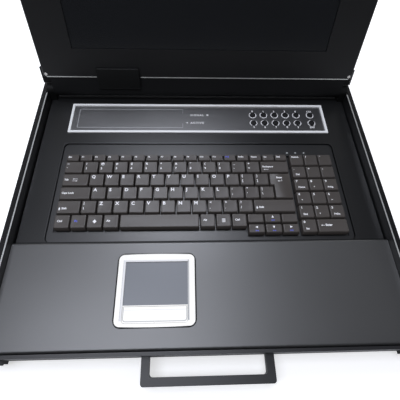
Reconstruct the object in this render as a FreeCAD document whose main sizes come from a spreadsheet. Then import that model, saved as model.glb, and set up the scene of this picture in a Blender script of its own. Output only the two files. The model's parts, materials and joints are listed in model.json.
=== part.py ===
import FreeCAD, Part
import Sketcher
import os
import re

# Rackmount LCD console drawer, one rack unit high.  Millimetres, +Z up, +X to the right,
# +Y from the front of the rack towards its back.  The origin is the middle of the four
# slots in the rack ears, on the plane where the ears meet the posts of the rack.

os.makedirs("parts", exist_ok=True)
doc = FreeCAD.newDocument("console_drawer")
sheet = doc.addObject("Spreadsheet::Sheet", "sizes")

# ------------------------------------------------------------------ driving dimensions
SIZES = [
    # the rack and the fixed rails
    ("unit_high", 43.6, "height of the front panel and ears"),
    ("panel_wide", 482.6, "width over the rack ears"),
    ("ear_margin", 8.75, "middle of a rack slot to the edge of the ear"),
    ("ear_reach", 16.8, "reach of an ear beyond the fixed rail"),
    ("ear_bolt_high", 31.75, "slot spacing up the rack"),
    ("ear_slot_long", 10.3, "rack slot, end to end"),
    ("ear_slot_wide", 6.8, "rack slot, width"),
    ("ear_thick", 2.0, "rack ear sheet"),
    ("ear_foot_long", 40.0, "foot of the ear under the rail"),
    ("rail_top", 14.0, "top of the fixed rails"),
    ("rail_deep", 5.1, "depth of the fixed rail's channel"),
    ("rail_spare", 40.0, "fixed rail behind the tray"),
    ("rail_front", 3.0, "front end of the fixed rails"),
    ("rail_sheet", 1.2, "sheet of the rails"),
    ("web_gap", 0.4, "play between the webs of two rail members"),
    ("ball_radius", 1.1, "bearing balls of the slides"),
    ("ball_play", 0.05, "play of a ball in its race"),
    ("cage_thick", 1.2, "strip that holds the balls"),
    ("cage_end", 16.0, "end of a member to the first ball"),
    ("member_front", 6.0, "front end of the moving rail members"),
    ("member_short", 2.0, "back end of the moving members from the tray's"),
    ("bracket_gap", 6.0, "tray to the rear bracket"),
    ("bracket_reach", 132.0, "tray to the rear posts"),
    ("bracket_top", 9.0, "top of the rear bracket's arm"),
    ("bracket_low", -15.6, "underside of the rear bracket's arm"),
    # the sliding tray
    ("sheet_metal", 1.2, "sheet of the tray"),
    ("slide_room", 6.3, "room for the slide beside the tray"),
    ("tray_rise", 0.8, "tray above the bottom of the rack unit"),
    ("tray_back", 430.0, "back end of the tray"),
    ("front_thick", 3.0, "thickness of the front panel"),
    ("front_gap", 2.5, "front panel inside the rails"),
    ("front_round", 2.0, "rounding of the front panel's corners"),
    ("handle_wide", 130.0, "length of the pull handle"),
    ("handle_reach", 26.0, "reach of the handle from the panel"),
    ("handle_bar", 8.0, "thickness of the handle bar"),
    ("handle_round", 3.0, "rounding of the handle"),
    ("latch_at", 205.0, "latch from the middle"),
    ("latch_wide", 18.0, "width of a latch button"),
    ("latch_high", 14.0, "height of a latch button"),
    ("latch_travel", 4.0, "travel of a latch"),
    # the deck and the palm rest
    ("deck_top", -1.0, "top of the deck"),
    ("deck_gap", 1.5, "groove between deck and wall"),
    ("deck_over", 2.0, "deck behind the hinge axis"),
    ("deck_front", 116.0, "front edge of the deck"),
    ("palm_top", 3.8, "top of the palm rest"),
    ("palm_gap", 0.4, "gap between the palm rest and its neighbours"),
    ("palm_front", 1.6, "front face of the palm rest"),
    ("palm_wall", 2.5, "wall of the palm rest"),
    ("palm_round", 3.0, "rounding of the palm rest's long edges"),
    # the keyboard
    ("case_low", -13.0, "underside of the keyboard base"),
    ("case_round", 6.0, "rounding of the case's corners"),
    ("case_gap", 0.8, "gap between the case and the deck"),
    ("case_sink", 1.6, "keyboard case below the deck"),
    ("case_margin", 7.6, "left side of the case to the keys"),
    ("case_edge", 7.2, "right side of the case to the keys"),
    ("case_lip", 5.6, "front of the case to the arrow keys"),
    ("case_shelf", 20.2, "back of the case to the function keys"),
    ("case_start", 2.0, "front of the case from the edge of the deck"),
    ("case_wall", 2.0, "wall of the case"),
    ("key_left", -176.0, "left edge of the key field"),
    ("key_unit", 19.05, "key pitch"),
    ("row_step", 8.2, "lower arrow row before the space bar's row"),
    ("row_nudge", 0.55, "function row drawn towards the numbers"),
    ("pad_gap", 2.74, "gap before the number pad"),
    ("block_wide", 15.25, "main block in key pitches"),
    ("function_deep", 12.0, "depth of the function keys' pitch"),
    ("field_margin", 1.2, "edge of the case round the key field"),
    ("key_inset", 0.6, "gap at a key's foot, each side"),
    ("key_taper", 0.6, "taper of a key's sides"),
    ("key_slope", 1.4, "taper of a key's front"),
    ("key_low", -3.4, "foot of the key caps"),
    ("key_top", 4.0, "top of the key caps"),
    ("key_travel", 2.2, "travel of a key"),
    ("stem_wide", 5.0, "key stem"),
    ("stem_low", -7.6, "foot of the key stems"),
    ("stem_play", 0.3, "play of a stem in the key plate"),
    ("plate_low", -7.0, "underside of the key plate"),
    ("plate_thick", 1.0, "key plate"),
    ("board_thick", 1.6, "circuit boards"),
    ("foot_radius", 5.0, "feet under the keyboard base"),
    ("foot_inset", 16.0, "feet from the sides of the base"),
    ("led_pitch", 11.6, "distance between the lamps"),
    ("led_shift", 0.65, "first lamp from the number pad"),
    ("led_inset", 14.0, "line of the lamps from the back of the case"),
    ("led_radius", 1.3, "keyboard lamps"),
    # the touchpad
    ("touch_left", -95.0, "left side of the touchpad bezel"),
    ("touch_wide", 83.2, "width of the touchpad bezel"),
    ("touch_crown", 1.0, "bulge of the bezel's front and back"),
    ("touch_gap", 0.6, "gap round the bezel"),
    ("touch_front", 23.5, "front of the touchpad bezel"),
    ("touch_back", 100.5, "back of the touchpad bezel"),
    ("touch_top", 4.6, "top of the touchpad bezel"),
    ("touch_low", -6.0, "underside of the touchpad bezel"),
    ("touch_round", 6.0, "rounding of the bezel's corners"),
    ("window_round", 3.5, "rounding of the bezel's window"),
    ("touch_side", 7.6, "side bars of the bezel"),
    ("touch_head", 8.8, "back bar of the bezel"),
    ("touch_foot", 4.0, "front bar of the bezel"),
    ("sensor_line", 21.5, "front of the bezel to the touch surface"),
    ("sensor_gap", 1.0, "bar between buttons and touch surface"),
    ("sensor_top", 3.4, "top of the touch surface"),
    ("button_top", 4.3, "top of the touchpad buttons"),
    ("button_travel", 0.8, "travel of the touchpad buttons"),
    ("button_play", 0.3, "gap round a button"),
    # the switch panel
    ("panel_left", -183.4, "left side of the silver frame"),
    ("panel_right", 181.8, "right side of the silver frame"),
    ("panel_gap", 19.3, "keyboard case to the silver frame"),
    ("panel_deep", 52.2, "depth of the silver frame"),
    ("frame_bar", 3.2, "width of the frame's bars"),
    ("frame_top", 0.6, "top of the frame"),
    ("frame_skirt", 1.2, "skirt under the frame"),
    ("face_top", -1.2, "top of the switch panel's face"),
    ("face_low", -3.4, "underside of the face"),
    ("port_start", 104.9, "first port button from the right of the frame"),
    ("port_last", 20.2, "last button from the right of the frame"),
    ("port_inset", 18.8, "lines of buttons from the frame's edges"),
    ("port_radius", 3.9, "port buttons"),
    ("port_flange", 4.8, "flange under a port button"),
    ("port_pitch", 16.05, "distance between the port buttons"),
    ("port_top", 0.4, "top of the port buttons"),
    ("port_travel", 1.0, "travel of the port buttons"),
    ("port_board", -7.0, "underside of the switch panel's board"),
    # the hinge and the lid
    ("hinge_at", 347.0, "hinge axis from the ears"),
    ("lid_up", 5.0, "face of the shut lid above the axis level"),
    ("knuckle_thick", 8.7, "fixed knuckles"),
    ("pin_short", 1.8, "pin ends inside the walls"),
    ("pin_radius", 3.0, "hinge pins"),
    ("pin_fit", 0.05, "running fit of the pins"),
    ("joint_gap", 0.3, "gap between the barrel and the knuckles"),
    ("lid_open", 108.7, "opening of the lid"),
    ("lid_thick", 16.0, "thickness of the lid"),
    ("lid_front", 9.0, "free edge of the shut lid from the ears"),
    ("lid_gap", 1.5, "lid to the tray walls"),
    ("cover_over", 1.5, "cover over the tray walls"),
    ("edge_break", 0.7, "broken edges of the bezel"),
    ("lid_split", 1.5, "joint between bezel and cover from the lid's middle"),
    ("cover_start", 8.4, "lower end of the cover from the hinge axis"),
    ("bezel_start", 20.5, "lower edge of the bezel from the hinge axis"),
    ("lid_wall", 1.6, "wall of the lid"),
    ("lid_round", 2.0, "rounding of the cover"),
    ("chin_step", 0.6, "step from the bezel back to the chin under it"),
    ("ear_end", 30.0, "upper end of the lid's lower corners"),
    ("screen_wide", 337.9, "visible screen, across"),
    ("screen_high", 270.3, "visible screen, up"),
    ("screen_start", 58.0, "lower edge of the screen from the hinge axis"),
    ("screen_glass", 2.0, "protective glass"),
    ("screen_rest", 7.0, "edge of the glass under the bezel"),
    ("module_thick", 7.0, "display module"),
    ("cable_left", -148.0, "left side of the cable cover"),
    ("cable_wide", 64.0, "width of the cable cover"),
    ("cable_start", 5.5, "lower end of the cable cover"),
    ("cable_long", 28.0, "length of the cable cover"),
    ("cable_out", 3.5, "height of the cable cover over the bezel"),
    ("control_pitch", 14.0, "distance between the screen's control buttons"),
    ("control_radius", 3.0, "screen control buttons"),
    ("control_line", 196.0, "line of the control buttons from the middle"),
    ("control_start", 150.0, "first control button from the hinge axis"),
    ("control_travel", 0.8, "travel of the control buttons"),
    # the switch box behind the hinge
    ("box_clear", 12.0, "hinge axis to the switch box"),
    ("box_gap", 4.0, "switch box to the tray walls"),
    ("box_drop", 2.4, "switch box below the top of the rails"),
    ("socket_edge", 27.0, "last socket from the side of the box"),
    ("inlet_edge", 48.0, "mains inlet from the side of the box"),
    ("socket_pitch", 38.0, "distance between the computer sockets"),
    ("socket_wide", 26.0, "computer socket, across"),
    ("socket_high", 11.0, "computer socket, up"),
    ("socket_deep", 12.0, "computer socket, depth"),
    ("socket_level", -6.0, "middle of the sockets"),
    ("inlet_wide", 27.6, "mains inlet, across"),
    ("inlet_high", 20.0, "mains inlet, up"),
    ("inlet_deep", 22.0, "mains inlet, depth"),
    ("screw_radius", 3.0, "screw heads"),
    ("small_screw", 2.1, "heads of the lid's screws"),
    ("screw_inset", 4.0, "lid screws from the edges of the bezel"),
    ("bumper_inset", 25.0, "lid bumpers from the sides of the bezel"),
    ("bumper_radius", 4.0, "lid bumpers"),
    ("bumper_high", 0.8, "height of the lid bumpers"),
    ("board_half", 60.0, "half width of the display board"),
    ("board_start", 140.0, "display board from the hinge axis"),
    ("board_long", 80.0, "length of the display board"),
    ("board_inset", 8.0, "boards from the walls of the box"),
    ("post_high", 3.0, "posts under the switch box's board"),
    ("post_inset", 23.0, "posts from the sides of the box"),
    ("shell_wall", 2.0, "walls of the sockets"),
    ("shell_back", 3.0, "back wall of the sockets"),
    ("screw_high", 1.6, "height of the screw heads"),
    ("thread_radius", 1.5, "screw shanks"),
]
SIZE = {}
for line, (alias, value, meaning) in enumerate(SIZES, start=1):
    sheet.set(f"A{line}", meaning)
    sheet.set(f"B{line}", str(value))
    sheet.setAlias(f"B{line}", alias)
    SIZE[alias] = value
doc.recompute()

# sizes that follow from the driving dimensions
FORMULAS = {
    "rail_outer": "panel_wide / 2 - ear_reach",
    "rail_lip": "rail_outer - rail_deep",
    "ear_inner": "rail_outer - rail_sheet",
    "ear_bolt_wide": "panel_wide - 2 * ear_margin",
    "rail_low": "rail_sheet - unit_high / 2",
    "wall_inner": "rail_outer - slide_room - sheet_metal",
    "tray_low": "tray_rise - unit_high / 2",
    "tray_top": "rail_top",
    "rail_back": "tray_back + rail_spare",
    "member_back": "tray_back - member_short",
    "ball_pitch": "(member_back - member_front - 2 * cage_end) / 5",
    "bracket_front": "tray_back + bracket_gap",
    "bracket_back": "tray_back + bracket_reach",
    "front_wide": "2 * (rail_outer - front_gap)",
    "deck_half": "wall_inner - deck_gap",
    "deck_back": "hinge_at + deck_over",
    "palm_half": "wall_inner - palm_gap",
    "palm_back": "deck_front - palm_gap",
    "case_left": "key_left - case_margin",
    "case_right": "pad_left + 3 * key_unit + case_edge",
    "case_front": "deck_front + case_start",
    "case_back": "function_front + function_deep + case_shelf",
    "case_top": "deck_top - case_sink",
    "arrow_front": "case_front + case_lip",
    "bottom_front": "arrow_front + row_step",
    "arrow_deep": "(row_step + key_unit - row_nudge) / 2",
    "number_front": "bottom_front + 4 * key_unit",
    "function_front": "number_front + key_unit - row_nudge",
    "pad_left": "key_left + block_wide * key_unit + pad_gap",
    "led_at": "pad_left + led_shift",
    "led_line": "case_back - led_inset",
    "touch_right": "touch_left + touch_wide",
    "sensor_left": "touch_left + touch_side",
    "sensor_right": "touch_right - touch_side",
    "sensor_front": "touch_front + sensor_line",
    "sensor_back": "touch_back - touch_head",
    "button_front": "touch_front + touch_foot",
    "button_back": "sensor_front - sensor_gap - button_play",
    "panel_front": "case_back + panel_gap",
    "panel_back": "panel_front + panel_deep",
    "port_left": "panel_right - port_start",
    "port_extra": "panel_right - port_last",
    "port_upper": "panel_back - port_inset",
    "port_lower": "panel_front + port_inset",
    "hinge_up": "lid_up + lid_thick / 2",
    "barrel_radius": "lid_thick / 2",
    "barrel_half": "wall_inner - knuckle_thick - joint_gap",
    "knuckle_half": "wall_inner - pin_short",
    "lid_long": "hinge_at - lid_front",
    "bezel_half": "wall_inner - lid_gap",
    "cover_half": "wall_inner + cover_over",
    "ear_half": "rail_outer - front_gap",
    "cable_right": "cable_left + cable_wide",
    "cable_end": "cable_start + cable_long",
    "box_front": "hinge_at + box_clear",
    "box_half": "wall_inner - box_gap",
    "box_top": "rail_top - box_drop",
    "socket_first": "box_half - socket_edge - 7 * socket_pitch",
    "inlet_at": "inlet_edge - box_half",
}

# lengths that follow from the driving dimensions, as expressions
HALF_HIGH = "unit_high / 2"
WALL_OUTER = "(wall_inner + sheet_metal)"
FLOOR = "(tray_low + sheet_metal)"
RACE = "(2 * ball_radius + 2 * ball_play)"
DECK_LOW = "(deck_top - sheet_metal)"
LID_HALF = "(lid_thick / 2)"
MIDDLE_WEB = "(rail_outer - rail_sheet - web_gap)"
MIDDLE_TOP = f"(rail_top - rail_sheet - {RACE})"
MIDDLE_LOW = f"(rail_low + rail_sheet + {RACE})"
INNER_TOP = f"({MIDDLE_TOP} - rail_sheet - {RACE})"
INNER_LOW = f"({MIDDLE_LOW} + rail_sheet + {RACE})"
INNER_EDGE = f"({MIDDLE_WEB} - rail_sheet - web_gap)"
PLATE_TOP = "(plate_low + plate_thick)"
FIELD_RIGHT = "(pad_left + 3 * key_unit)"
FIELD_BACK = "(function_front + function_deep)"
BOARD_TOP = "(port_board + board_thick)"

# ------------------------------------------------------------------ modelling helpers
NODES = {}


def bind(expression):
    """Point every name of an expression at its cell of the sheet, through the formulas."""
    def cell(word):
        name = word.group(0)
        return "(" + bind(FORMULAS[name]) + ")" if name in FORMULAS else "sizes." + name

    return re.sub(r"[a-z][a-z_]*", cell, str(expression))


def value_of(expression):
    """The number that an expression gives now, used to draw a sketch near its place."""
    return float(sheet.evalExpression(bind(expression)))


def keep(label, obj):
    """Make an object a sub-part: its label is the name of its file."""
    obj.Label = label
    NODES[label] = obj
    return obj


class Piece:
    """A PartDesign body built from outlines whose corners are bound to the sheet."""

    PLANES = {"XY": "XY_Plane", "XZ": "XZ_Plane", "YZ": "YZ_Plane"}

    def __init__(self, label, is_node=True):
        self.label = label
        self.body = doc.addObject("PartDesign::Body", label + "_body")
        if is_node:
            keep(label, self.body)

    def sketch(self, plane, level, outlines):
        """A fully bound sketch on an origin plane, moved to a level along its world axis."""
        drawing = self.body.newObject("Sketcher::SketchObject", self.label + "_sketch")
        role = self.PLANES[plane]
        support = [item for item in self.body.Origin.OriginFeatures if item.Role == role][0]
        drawing.AttachmentSupport = [(support, "")]
        drawing.MapMode = "FlatFace"
        sign = "-1 * " if plane == "XZ" else ""
        drawing.setExpression("AttachmentOffset.Base.z", bind(f"{sign}({level})"))
        for outline in outlines:
            if outline[0] == "circle":
                self.draw_circle(drawing, *outline[1:])
            else:
                self.draw_polygon(drawing, outline)
        return drawing

    @staticmethod
    def fix_point(drawing, geometry, point, across, up):
        """Bind one point of a sketch to two expressions."""
        for kind, value in (("DistanceX", across), ("DistanceY", up)):
            number = drawing.addConstraint(
                Sketcher.Constraint(kind, geometry, point, value_of(value)))
            drawing.setExpression(f"Constraints[{number}]", bind(value))

    def draw_circle(self, drawing, across, up, radius):
        circle = Part.Circle(FreeCAD.Vector(0, 0, 0), FreeCAD.Vector(0, 0, 1), 1.0)
        geometry = drawing.addGeometry(circle, False)
        self.fix_point(drawing, geometry, 3, across, up)
        number = drawing.addConstraint(Sketcher.Constraint("Radius", geometry, 1.0))
        drawing.setExpression(f"Constraints[{number}]", bind(radius))

    def draw_polygon(self, drawing, corners):
        """A closed outline, anticlockwise; every corner is bound to the sheet.

        A corner with a third value starts a side that bulges outwards by that much.
        """
        guess = [FreeCAD.Vector(value_of(corner[0]), value_of(corner[1]), 0) for corner in corners]
        count = len(corners)
        first = drawing.GeometryCount
        for index, corner in enumerate(corners):
            start, end = guess[index], guess[(index + 1) % count]
            if len(corner) == 2:
                drawing.addGeometry(Part.LineSegment(start, end), False)
                continue
            chord = end - start
            outwards = FreeCAD.Vector(chord.y, -chord.x, 0).normalize()
            middle = start + chord * 0.5 + outwards * value_of(corner[2])
            drawing.addGeometry(Part.Arc(start, middle, end), False)
        for index in range(count):
            following = first + (index + 1) % count
            join = Sketcher.Constraint("Coincident", first + index, 2, following, 1)
            drawing.addConstraint(join)
        for index, corner in enumerate(corners):
            self.fix_point(drawing, first + index, 1, corner[0], corner[1])
            if len(corner) == 3:
                following = corners[(index + 1) % count]
                half = f"(({following[0]}) - ({corner[0]})) / 2"
                bulge = f"({corner[2]})"
                radius = f"({half} * {half} + {bulge} * {bulge}) / (2 * {bulge})"
                number = drawing.addConstraint(
                    Sketcher.Constraint("Radius", first + index, value_of(radius)))
                drawing.setExpression(f"Constraints[{number}]", bind(radius))

    def add(self, plane, low, high, *outlines):
        """Pad outlines between two levels of the axis across the plane."""
        level = high if plane == "XZ" else low
        drawing = self.sketch(plane, level, outlines)
        pad = self.body.newObject("PartDesign::Pad", self.label + "_pad")
        pad.Profile = drawing
        pad.setExpression("Length", bind(f"({high}) - ({low})"))
        return self.finish(pad)

    def cut(self, plane, low, high, *outlines):
        """Pocket outlines between two levels of the axis across the plane."""
        level = low if plane == "XZ" else high
        drawing = self.sketch(plane, level, outlines)
        pocket = self.body.newObject("PartDesign::Pocket", self.label + "_pocket")
        pocket.Profile = drawing
        pocket.setExpression("Length", bind(f"({high}) - ({low})"))
        return self.finish(pocket)

    def finish(self, feature):
        self.body.Tip = feature
        doc.recompute()
        return self

    def round(self, radius, axis, where, kind="Fillet"):
        """Fillet or chamfer the straight edges along an axis that `where` picks."""
        tip = self.body.Tip
        names = pick_edges(tip.Shape, axis, where)
        feature = self.body.newObject("PartDesign::" + kind, self.label + "_" + kind.lower())
        feature.Base = (tip, names)
        feature.setExpression("Radius" if kind == "Fillet" else "Size", bind(radius))
        return self.finish(feature)


def pick_edges(shape, axis, where):
    """Names of the straight edges along an axis whose middle point `where` accepts."""
    names = []
    for number, edge in enumerate(shape.Edges, start=1):
        if edge.Curve.TypeId != "Part::GeomLine":
            continue
        along = [abs(edge.Curve.Direction[index]) for index in range(3)]
        if along["XYZ".index(axis)] > 0.999 and where(edge.CenterOfMass, shape.BoundBox):
            names.append(f"Edge{number}")
    return names


def at_corner(point, box):
    """True on the outer upright corners of a piece."""
    return (min(point.x - box.XMin, box.XMax - point.x) < 0.01
            and min(point.y - box.YMin, box.YMax - point.y) < 0.01)


def at_side(point, box):
    """True on the outer left and right edges of a piece."""
    return min(point.x - box.XMin, box.XMax - point.x) < 0.01


def rect(left, right, front, back):
    """Corner points of a rectangle."""
    return [(left, front), (right, front), (right, back), (left, back)]


def place(obj, x, y, z):
    for axis, value in zip("xyz", (x, y, z)):
        obj.setExpression(f"Placement.Base.{axis}", bind(value))
    return obj


def box(name, x, y, z):
    """Part::Box between pairs of expressions along X, Y and Z."""
    obj = doc.addObject("Part::Box", name)
    for side, (low, high) in zip(("Length", "Width", "Height"), (x, y, z)):
        obj.setExpression(side, bind(f"({high}) - ({low})"))
    return place(obj, x[0], y[0], z[0])


def cylinder(name, x, y, low, high, radius):
    """Upright Part::Cylinder between two heights."""
    obj = doc.addObject("Part::Cylinder", name)
    obj.setExpression("Radius", bind(radius))
    obj.setExpression("Height", bind(f"({high}) - ({low})"))
    return place(obj, x, y, low)


def rod(name, axis, start, end, across, up, radius):
    """Part::Cylinder lying along X or Y; across and up are its other two coordinates."""
    obj = doc.addObject("Part::Cylinder", name)
    obj.setExpression("Radius", bind(radius))
    obj.setExpression("Height", bind(f"({end}) - ({start})"))
    turn = (0, 1, 0) if axis == "X" else (-1, 0, 0)
    obj.Placement = FreeCAD.Placement(FreeCAD.Vector(), FreeCAD.Rotation(FreeCAD.Vector(*turn), 90))
    base = (start, across, up) if axis == "X" else (across, start, up)
    return place(obj, *base)


def group(name, parts):
    obj = doc.addObject("Part::Compound", name)
    obj.Links = parts
    return obj


def fuse(name, parts):
    obj = doc.addObject("Part::MultiFuse", name)
    obj.Shapes = parts
    return obj


def cut_away(name, base, tool):
    obj = doc.addObject("Part::Cut", name)
    obj.Base = base
    obj.Tool = tool
    return obj


def mirrored(name, source):
    """The left-hand twin of a right-hand piece."""
    obj = doc.addObject("Part::Mirroring", name)
    obj.Source = source
    obj.Normal = (1, 0, 0)
    return obj


def on_lid(obj):
    """Turn a piece that is modelled lying shut, with the hinge axis as its origin, to the open lid."""
    obj.Placement = FreeCAD.Placement(
        FreeCAD.Vector(), FreeCAD.Rotation(FreeCAD.Vector(-1, 0, 0), SIZE["lid_open"]))
    obj.setExpression("Placement.Base.y", bind("hinge_at"))
    obj.setExpression("Placement.Base.z", bind("hinge_up"))
    obj.setExpression("Placement.Rotation.Angle", bind("lid_open"))
    return obj


# ------------------------------------------------------------------ fixed rails and rack ears
def channel(label, web_outer, edge, low, high, front, back, flip=False):
    """A C-shaped rail member along Y on the right; it opens towards `edge`."""
    sheet_in = "rail_sheet" if not flip else "-1 * rail_sheet"
    web_inner = f"{web_outer} - ({sheet_in})"
    outline = [
        (web_outer, low), (web_outer, high), (edge, high), (edge, f"{high} - rail_sheet"),
        (web_inner, f"{high} - rail_sheet"), (web_inner, f"{low} + rail_sheet"),
        (edge, f"{low} + rail_sheet"), (edge, low),
    ]
    return Piece(label, False).add("XZ", front, back, outline).body


def make_rails():
    outer = channel("outer_rail", "rail_outer", "rail_lip", "rail_low", "rail_top",
                    "rail_front", "rail_back")
    middle = channel("middle_rail", MIDDLE_WEB, "rail_lip", MIDDLE_LOW, MIDDLE_TOP,
                     "member_front", "member_back")
    inner = channel("inner_rail", WALL_OUTER, INNER_EDGE, INNER_LOW, INNER_TOP,
                    "member_front", "member_back", flip=True)
    keep("outer_rail_right", outer)
    keep("outer_rail_left", mirrored("outer_rail_twin", outer))
    for name, right in (("middle_rail", middle), ("inner_rail", inner)):
        twin = mirrored(name + "_twin", right)
        keep(name + "s", group(name + "_pair", [right, twin]))


def make_ball_cages():
    """Strips with balls between the flanges of the nested rail members."""
    right = []
    middle = "(rail_lip + (rail_outer - rail_sheet - web_gap - rail_sheet)) / 2"
    lines = {
        "outer_top": f"{MIDDLE_TOP} + ball_radius + ball_play",
        "outer_low": f"{MIDDLE_LOW} - ball_radius - ball_play",
        "inner_top": f"{INNER_TOP} + ball_radius + ball_play",
        "inner_low": f"{INNER_LOW} - ball_radius - ball_play",
    }
    for name, level in lines.items():
        x_range = (f"{middle} - ball_radius", f"{middle} + ball_radius")
        z_range = (f"{level} - cage_thick / 2", f"{level} + cage_thick / 2")
        parts = [box("cage_strip", x_range, ("member_front + cage_end / 4", "member_back - cage_end / 4"), z_range)]
        for step in range(6):
            ball = doc.addObject("Part::Sphere", "ball")
            ball.setExpression("Radius", bind("ball_radius"))
            place(ball, middle, f"member_front + cage_end + {step} * ball_pitch", level)
            parts.append(ball)
        right.append(fuse("cage_" + name, parts))
    twins = [mirrored("cage_twin", cage) for cage in right]
    keep("ball_cages", group("ball_cage_group", right + twins))


def slot(name, x, y, z, axis_from, axis_to):
    """A rack slot through a sheet that faces the front of the rack."""
    straight = "(ear_slot_long - ear_slot_wide) / 2"
    parts = [box(name, (f"{x} - {straight}", f"{x} + {straight}"), (axis_from, axis_to),
                 (f"{z} - ear_slot_wide / 2", f"{z} + ear_slot_wide / 2"))]
    for side in ("-", "+"):
        parts.append(rod(name, "Y", axis_from, axis_to, f"{x} {side} {straight}", z,
                         "ear_slot_wide / 2"))
    return fuse(name, parts)


def make_ears():
    """Front ears: a slotted flange on the posts of the rack, and a foot under the rail."""
    flange = box("ear_flange", ("ear_inner", "panel_wide / 2"), ("-1 * ear_thick", "0"),
                 (f"-1 * {HALF_HIGH}", HALF_HIGH))
    corner = doc.addObject("Part::Fillet", "ear_round")
    corner.Base = flange
    doc.recompute()
    outer = [number for number, edge in enumerate(flange.Shape.Edges, start=1)
             if abs(edge.tangentAt(edge.FirstParameter).y) > 0.99
             and edge.CenterOfMass.x > flange.Shape.BoundBox.Center.x]
    corner.Edges = [(number, 2.0, 2.0) for number in outer]
    foot = box("ear_foot", ("rail_lip", "rail_outer"), ("joint_gap", "ear_foot_long"),
               (f"-1 * {HALF_HIGH}", "rail_low"))
    rib = box("ear_rib", ("ear_inner", "rail_outer"), ("-1 * ear_thick", "rail_front"),
              (f"-1 * {HALF_HIGH}", "rail_top"))
    slots = [slot("ear_slot", "ear_bolt_wide / 2", "0", f"{side} ear_bolt_high / 2",
                  "-1 * ear_thick - 1", "1") for side in ("-1 *", "1 *")]
    right = cut_away("ear_right", fuse("ear_sheet", [corner, foot, rib]),
                     group("ear_slots", slots))
    keep("rack_ear_right", right)
    keep("rack_ear_left", mirrored("ear_twin", right))


def make_rear_brackets():
    """Arms screwed inside the ends of the fixed rails, with a slotted flange for the rear posts."""
    web = "rail_outer - rail_sheet"
    arm = box("bracket_arm", (f"{web} - rail_sheet", web), ("bracket_front", "bracket_back"),
              ("bracket_low", "bracket_top"))
    flange = box("bracket_flange", (f"{web} - rail_sheet", "panel_wide / 2"),
                 ("bracket_back - ear_thick", "bracket_back"), (f"-1 * {HALF_HIGH}", HALF_HIGH))
    slots = [slot("bracket_slot", "ear_bolt_wide / 2", "0", f"{side} ear_bolt_high / 2",
                  "bracket_back - ear_thick - 1", "bracket_back + 1") for side in ("-1 *", "1 *")]
    right = cut_away("bracket_right", fuse("bracket_sheet", [arm, flange]),
                     group("bracket_slots", slots))
    keep("rear_bracket_right", right)
    keep("rear_bracket_left", mirrored("bracket_twin", right))


def make_rail_screws():
    """Pan-head screws that hold the rear brackets in the rails."""
    web = "rail_outer - rail_sheet"
    parts = []
    for y in ("bracket_front + 8", "rail_back - 8"):
        for z in ("bracket_low + 6", "bracket_top - 6"):
            parts.append(rod("rail_screw", "X", f"{web} - rail_sheet - screw_high",
                             f"{web} - rail_sheet", y, z, "screw_radius"))
    twins = [mirrored("rail_screw_twin", part) for part in parts]
    keep("rail_screws", group("rail_screw_group", parts + twins))


# ------------------------------------------------------------------ sliding tray and front
def make_tray():
    """Folded pan: a floor with two side walls and a front wall."""
    half = WALL_OUTER
    inner = "wall_inner"
    pan = [(f"-1 * {half}", "tray_low"), (half, "tray_low"), (half, "tray_top"),
           (inner, "tray_top"), (inner, FLOOR), (f"-1 * {inner}", FLOOR),
           (f"-1 * {inner}", "tray_top"), (f"-1 * {half}", "tray_top")]
    piece = Piece("tray").add("XZ", "0", "tray_back", pan)
    piece.add("XZ", "0", "sheet_metal",
              rect(f"-1 * {inner}", inner, FLOOR, "palm_top - palm_round"))


def make_front_panel():
    half = "front_wide / 2"
    piece = Piece("front_panel")
    piece.add("XZ", "-1 * front_thick", "0",
              rect(f"-1 * {half}", half, f"-1 * {HALF_HIGH}", HALF_HIGH))
    piece.round("front_round", "Y", lambda point, edge_box: True)


def make_handle():
    """Bow handle with two posts and a bar; fingers go behind the bar."""
    half = "handle_wide / 2"
    low = "-1 * front_thick - handle_reach"
    back = "-1 * front_thick"
    outer = rect(f"-1 * {half}", half, low, back)
    piece = Piece("front_handle").add("XY", "-1 * handle_bar / 2", "handle_bar / 2", outer)
    piece.cut("XY", "-1 * handle_bar / 2", "handle_bar / 2",
              rect(f"-1 * {half} + handle_bar", f"{half} - handle_bar",
                   f"{low} + handle_bar", back))
    piece.round("handle_round", "Z", lambda point, edge_box: point.y < edge_box.YMax - 1)


def make_latches():
    """Ribbed sliding buttons at the ends of the front panel."""
    face = "-1 * front_thick - joint_gap"
    plate = box("latch_plate", ("latch_at - latch_wide / 2", "latch_at + latch_wide / 2"),
                (f"{face} - 3", face), ("-1 * latch_high / 2", "latch_high / 2"))
    ribs = [box("latch_rib", (f"latch_at + {step} - 0.8", f"latch_at + {step} + 0.8"),
                (f"{face} - 4.2", f"{face} - 2.9"), ("-1 * latch_high / 2 + 2", "latch_high / 2 - 2"))
            for step in (-5, -2, 1, 4)]
    right = fuse("latch_body", [plate] + ribs)
    keep("latch_right", right)
    keep("latch_left", mirrored("latch_twin", right))


def make_deck():
    """Deck plate on side skirts, with cut-outs for the keyboard and the switch panel."""
    half = "deck_half"
    inner = "(deck_half - sheet_metal)"
    shell = [(f"-1 * {half}", FLOOR), (f"-1 * {half}", "deck_top"), (half, "deck_top"),
             (half, FLOOR), (inner, FLOOR), (inner, DECK_LOW), (f"-1 * {inner}", DECK_LOW),
             (f"-1 * {inner}", FLOOR)]
    piece = Piece("deck_plate").add("XZ", "deck_front", "deck_back", shell)
    piece.cut("XY", DECK_LOW, "deck_top",
              rect("case_left - case_gap", "case_right + case_gap",
                   "case_front - case_gap", "case_back + case_gap"))
    piece.round("case_round + case_gap", "Z",
                lambda point, edge_box: abs(point.x) < edge_box.XMax - 5)
    piece.cut("XY", DECK_LOW, "deck_top",
              rect("panel_left + frame_bar / 2", "panel_right - frame_bar / 2",
                   "panel_front + frame_bar / 2", "panel_back - frame_bar / 2"))


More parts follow.
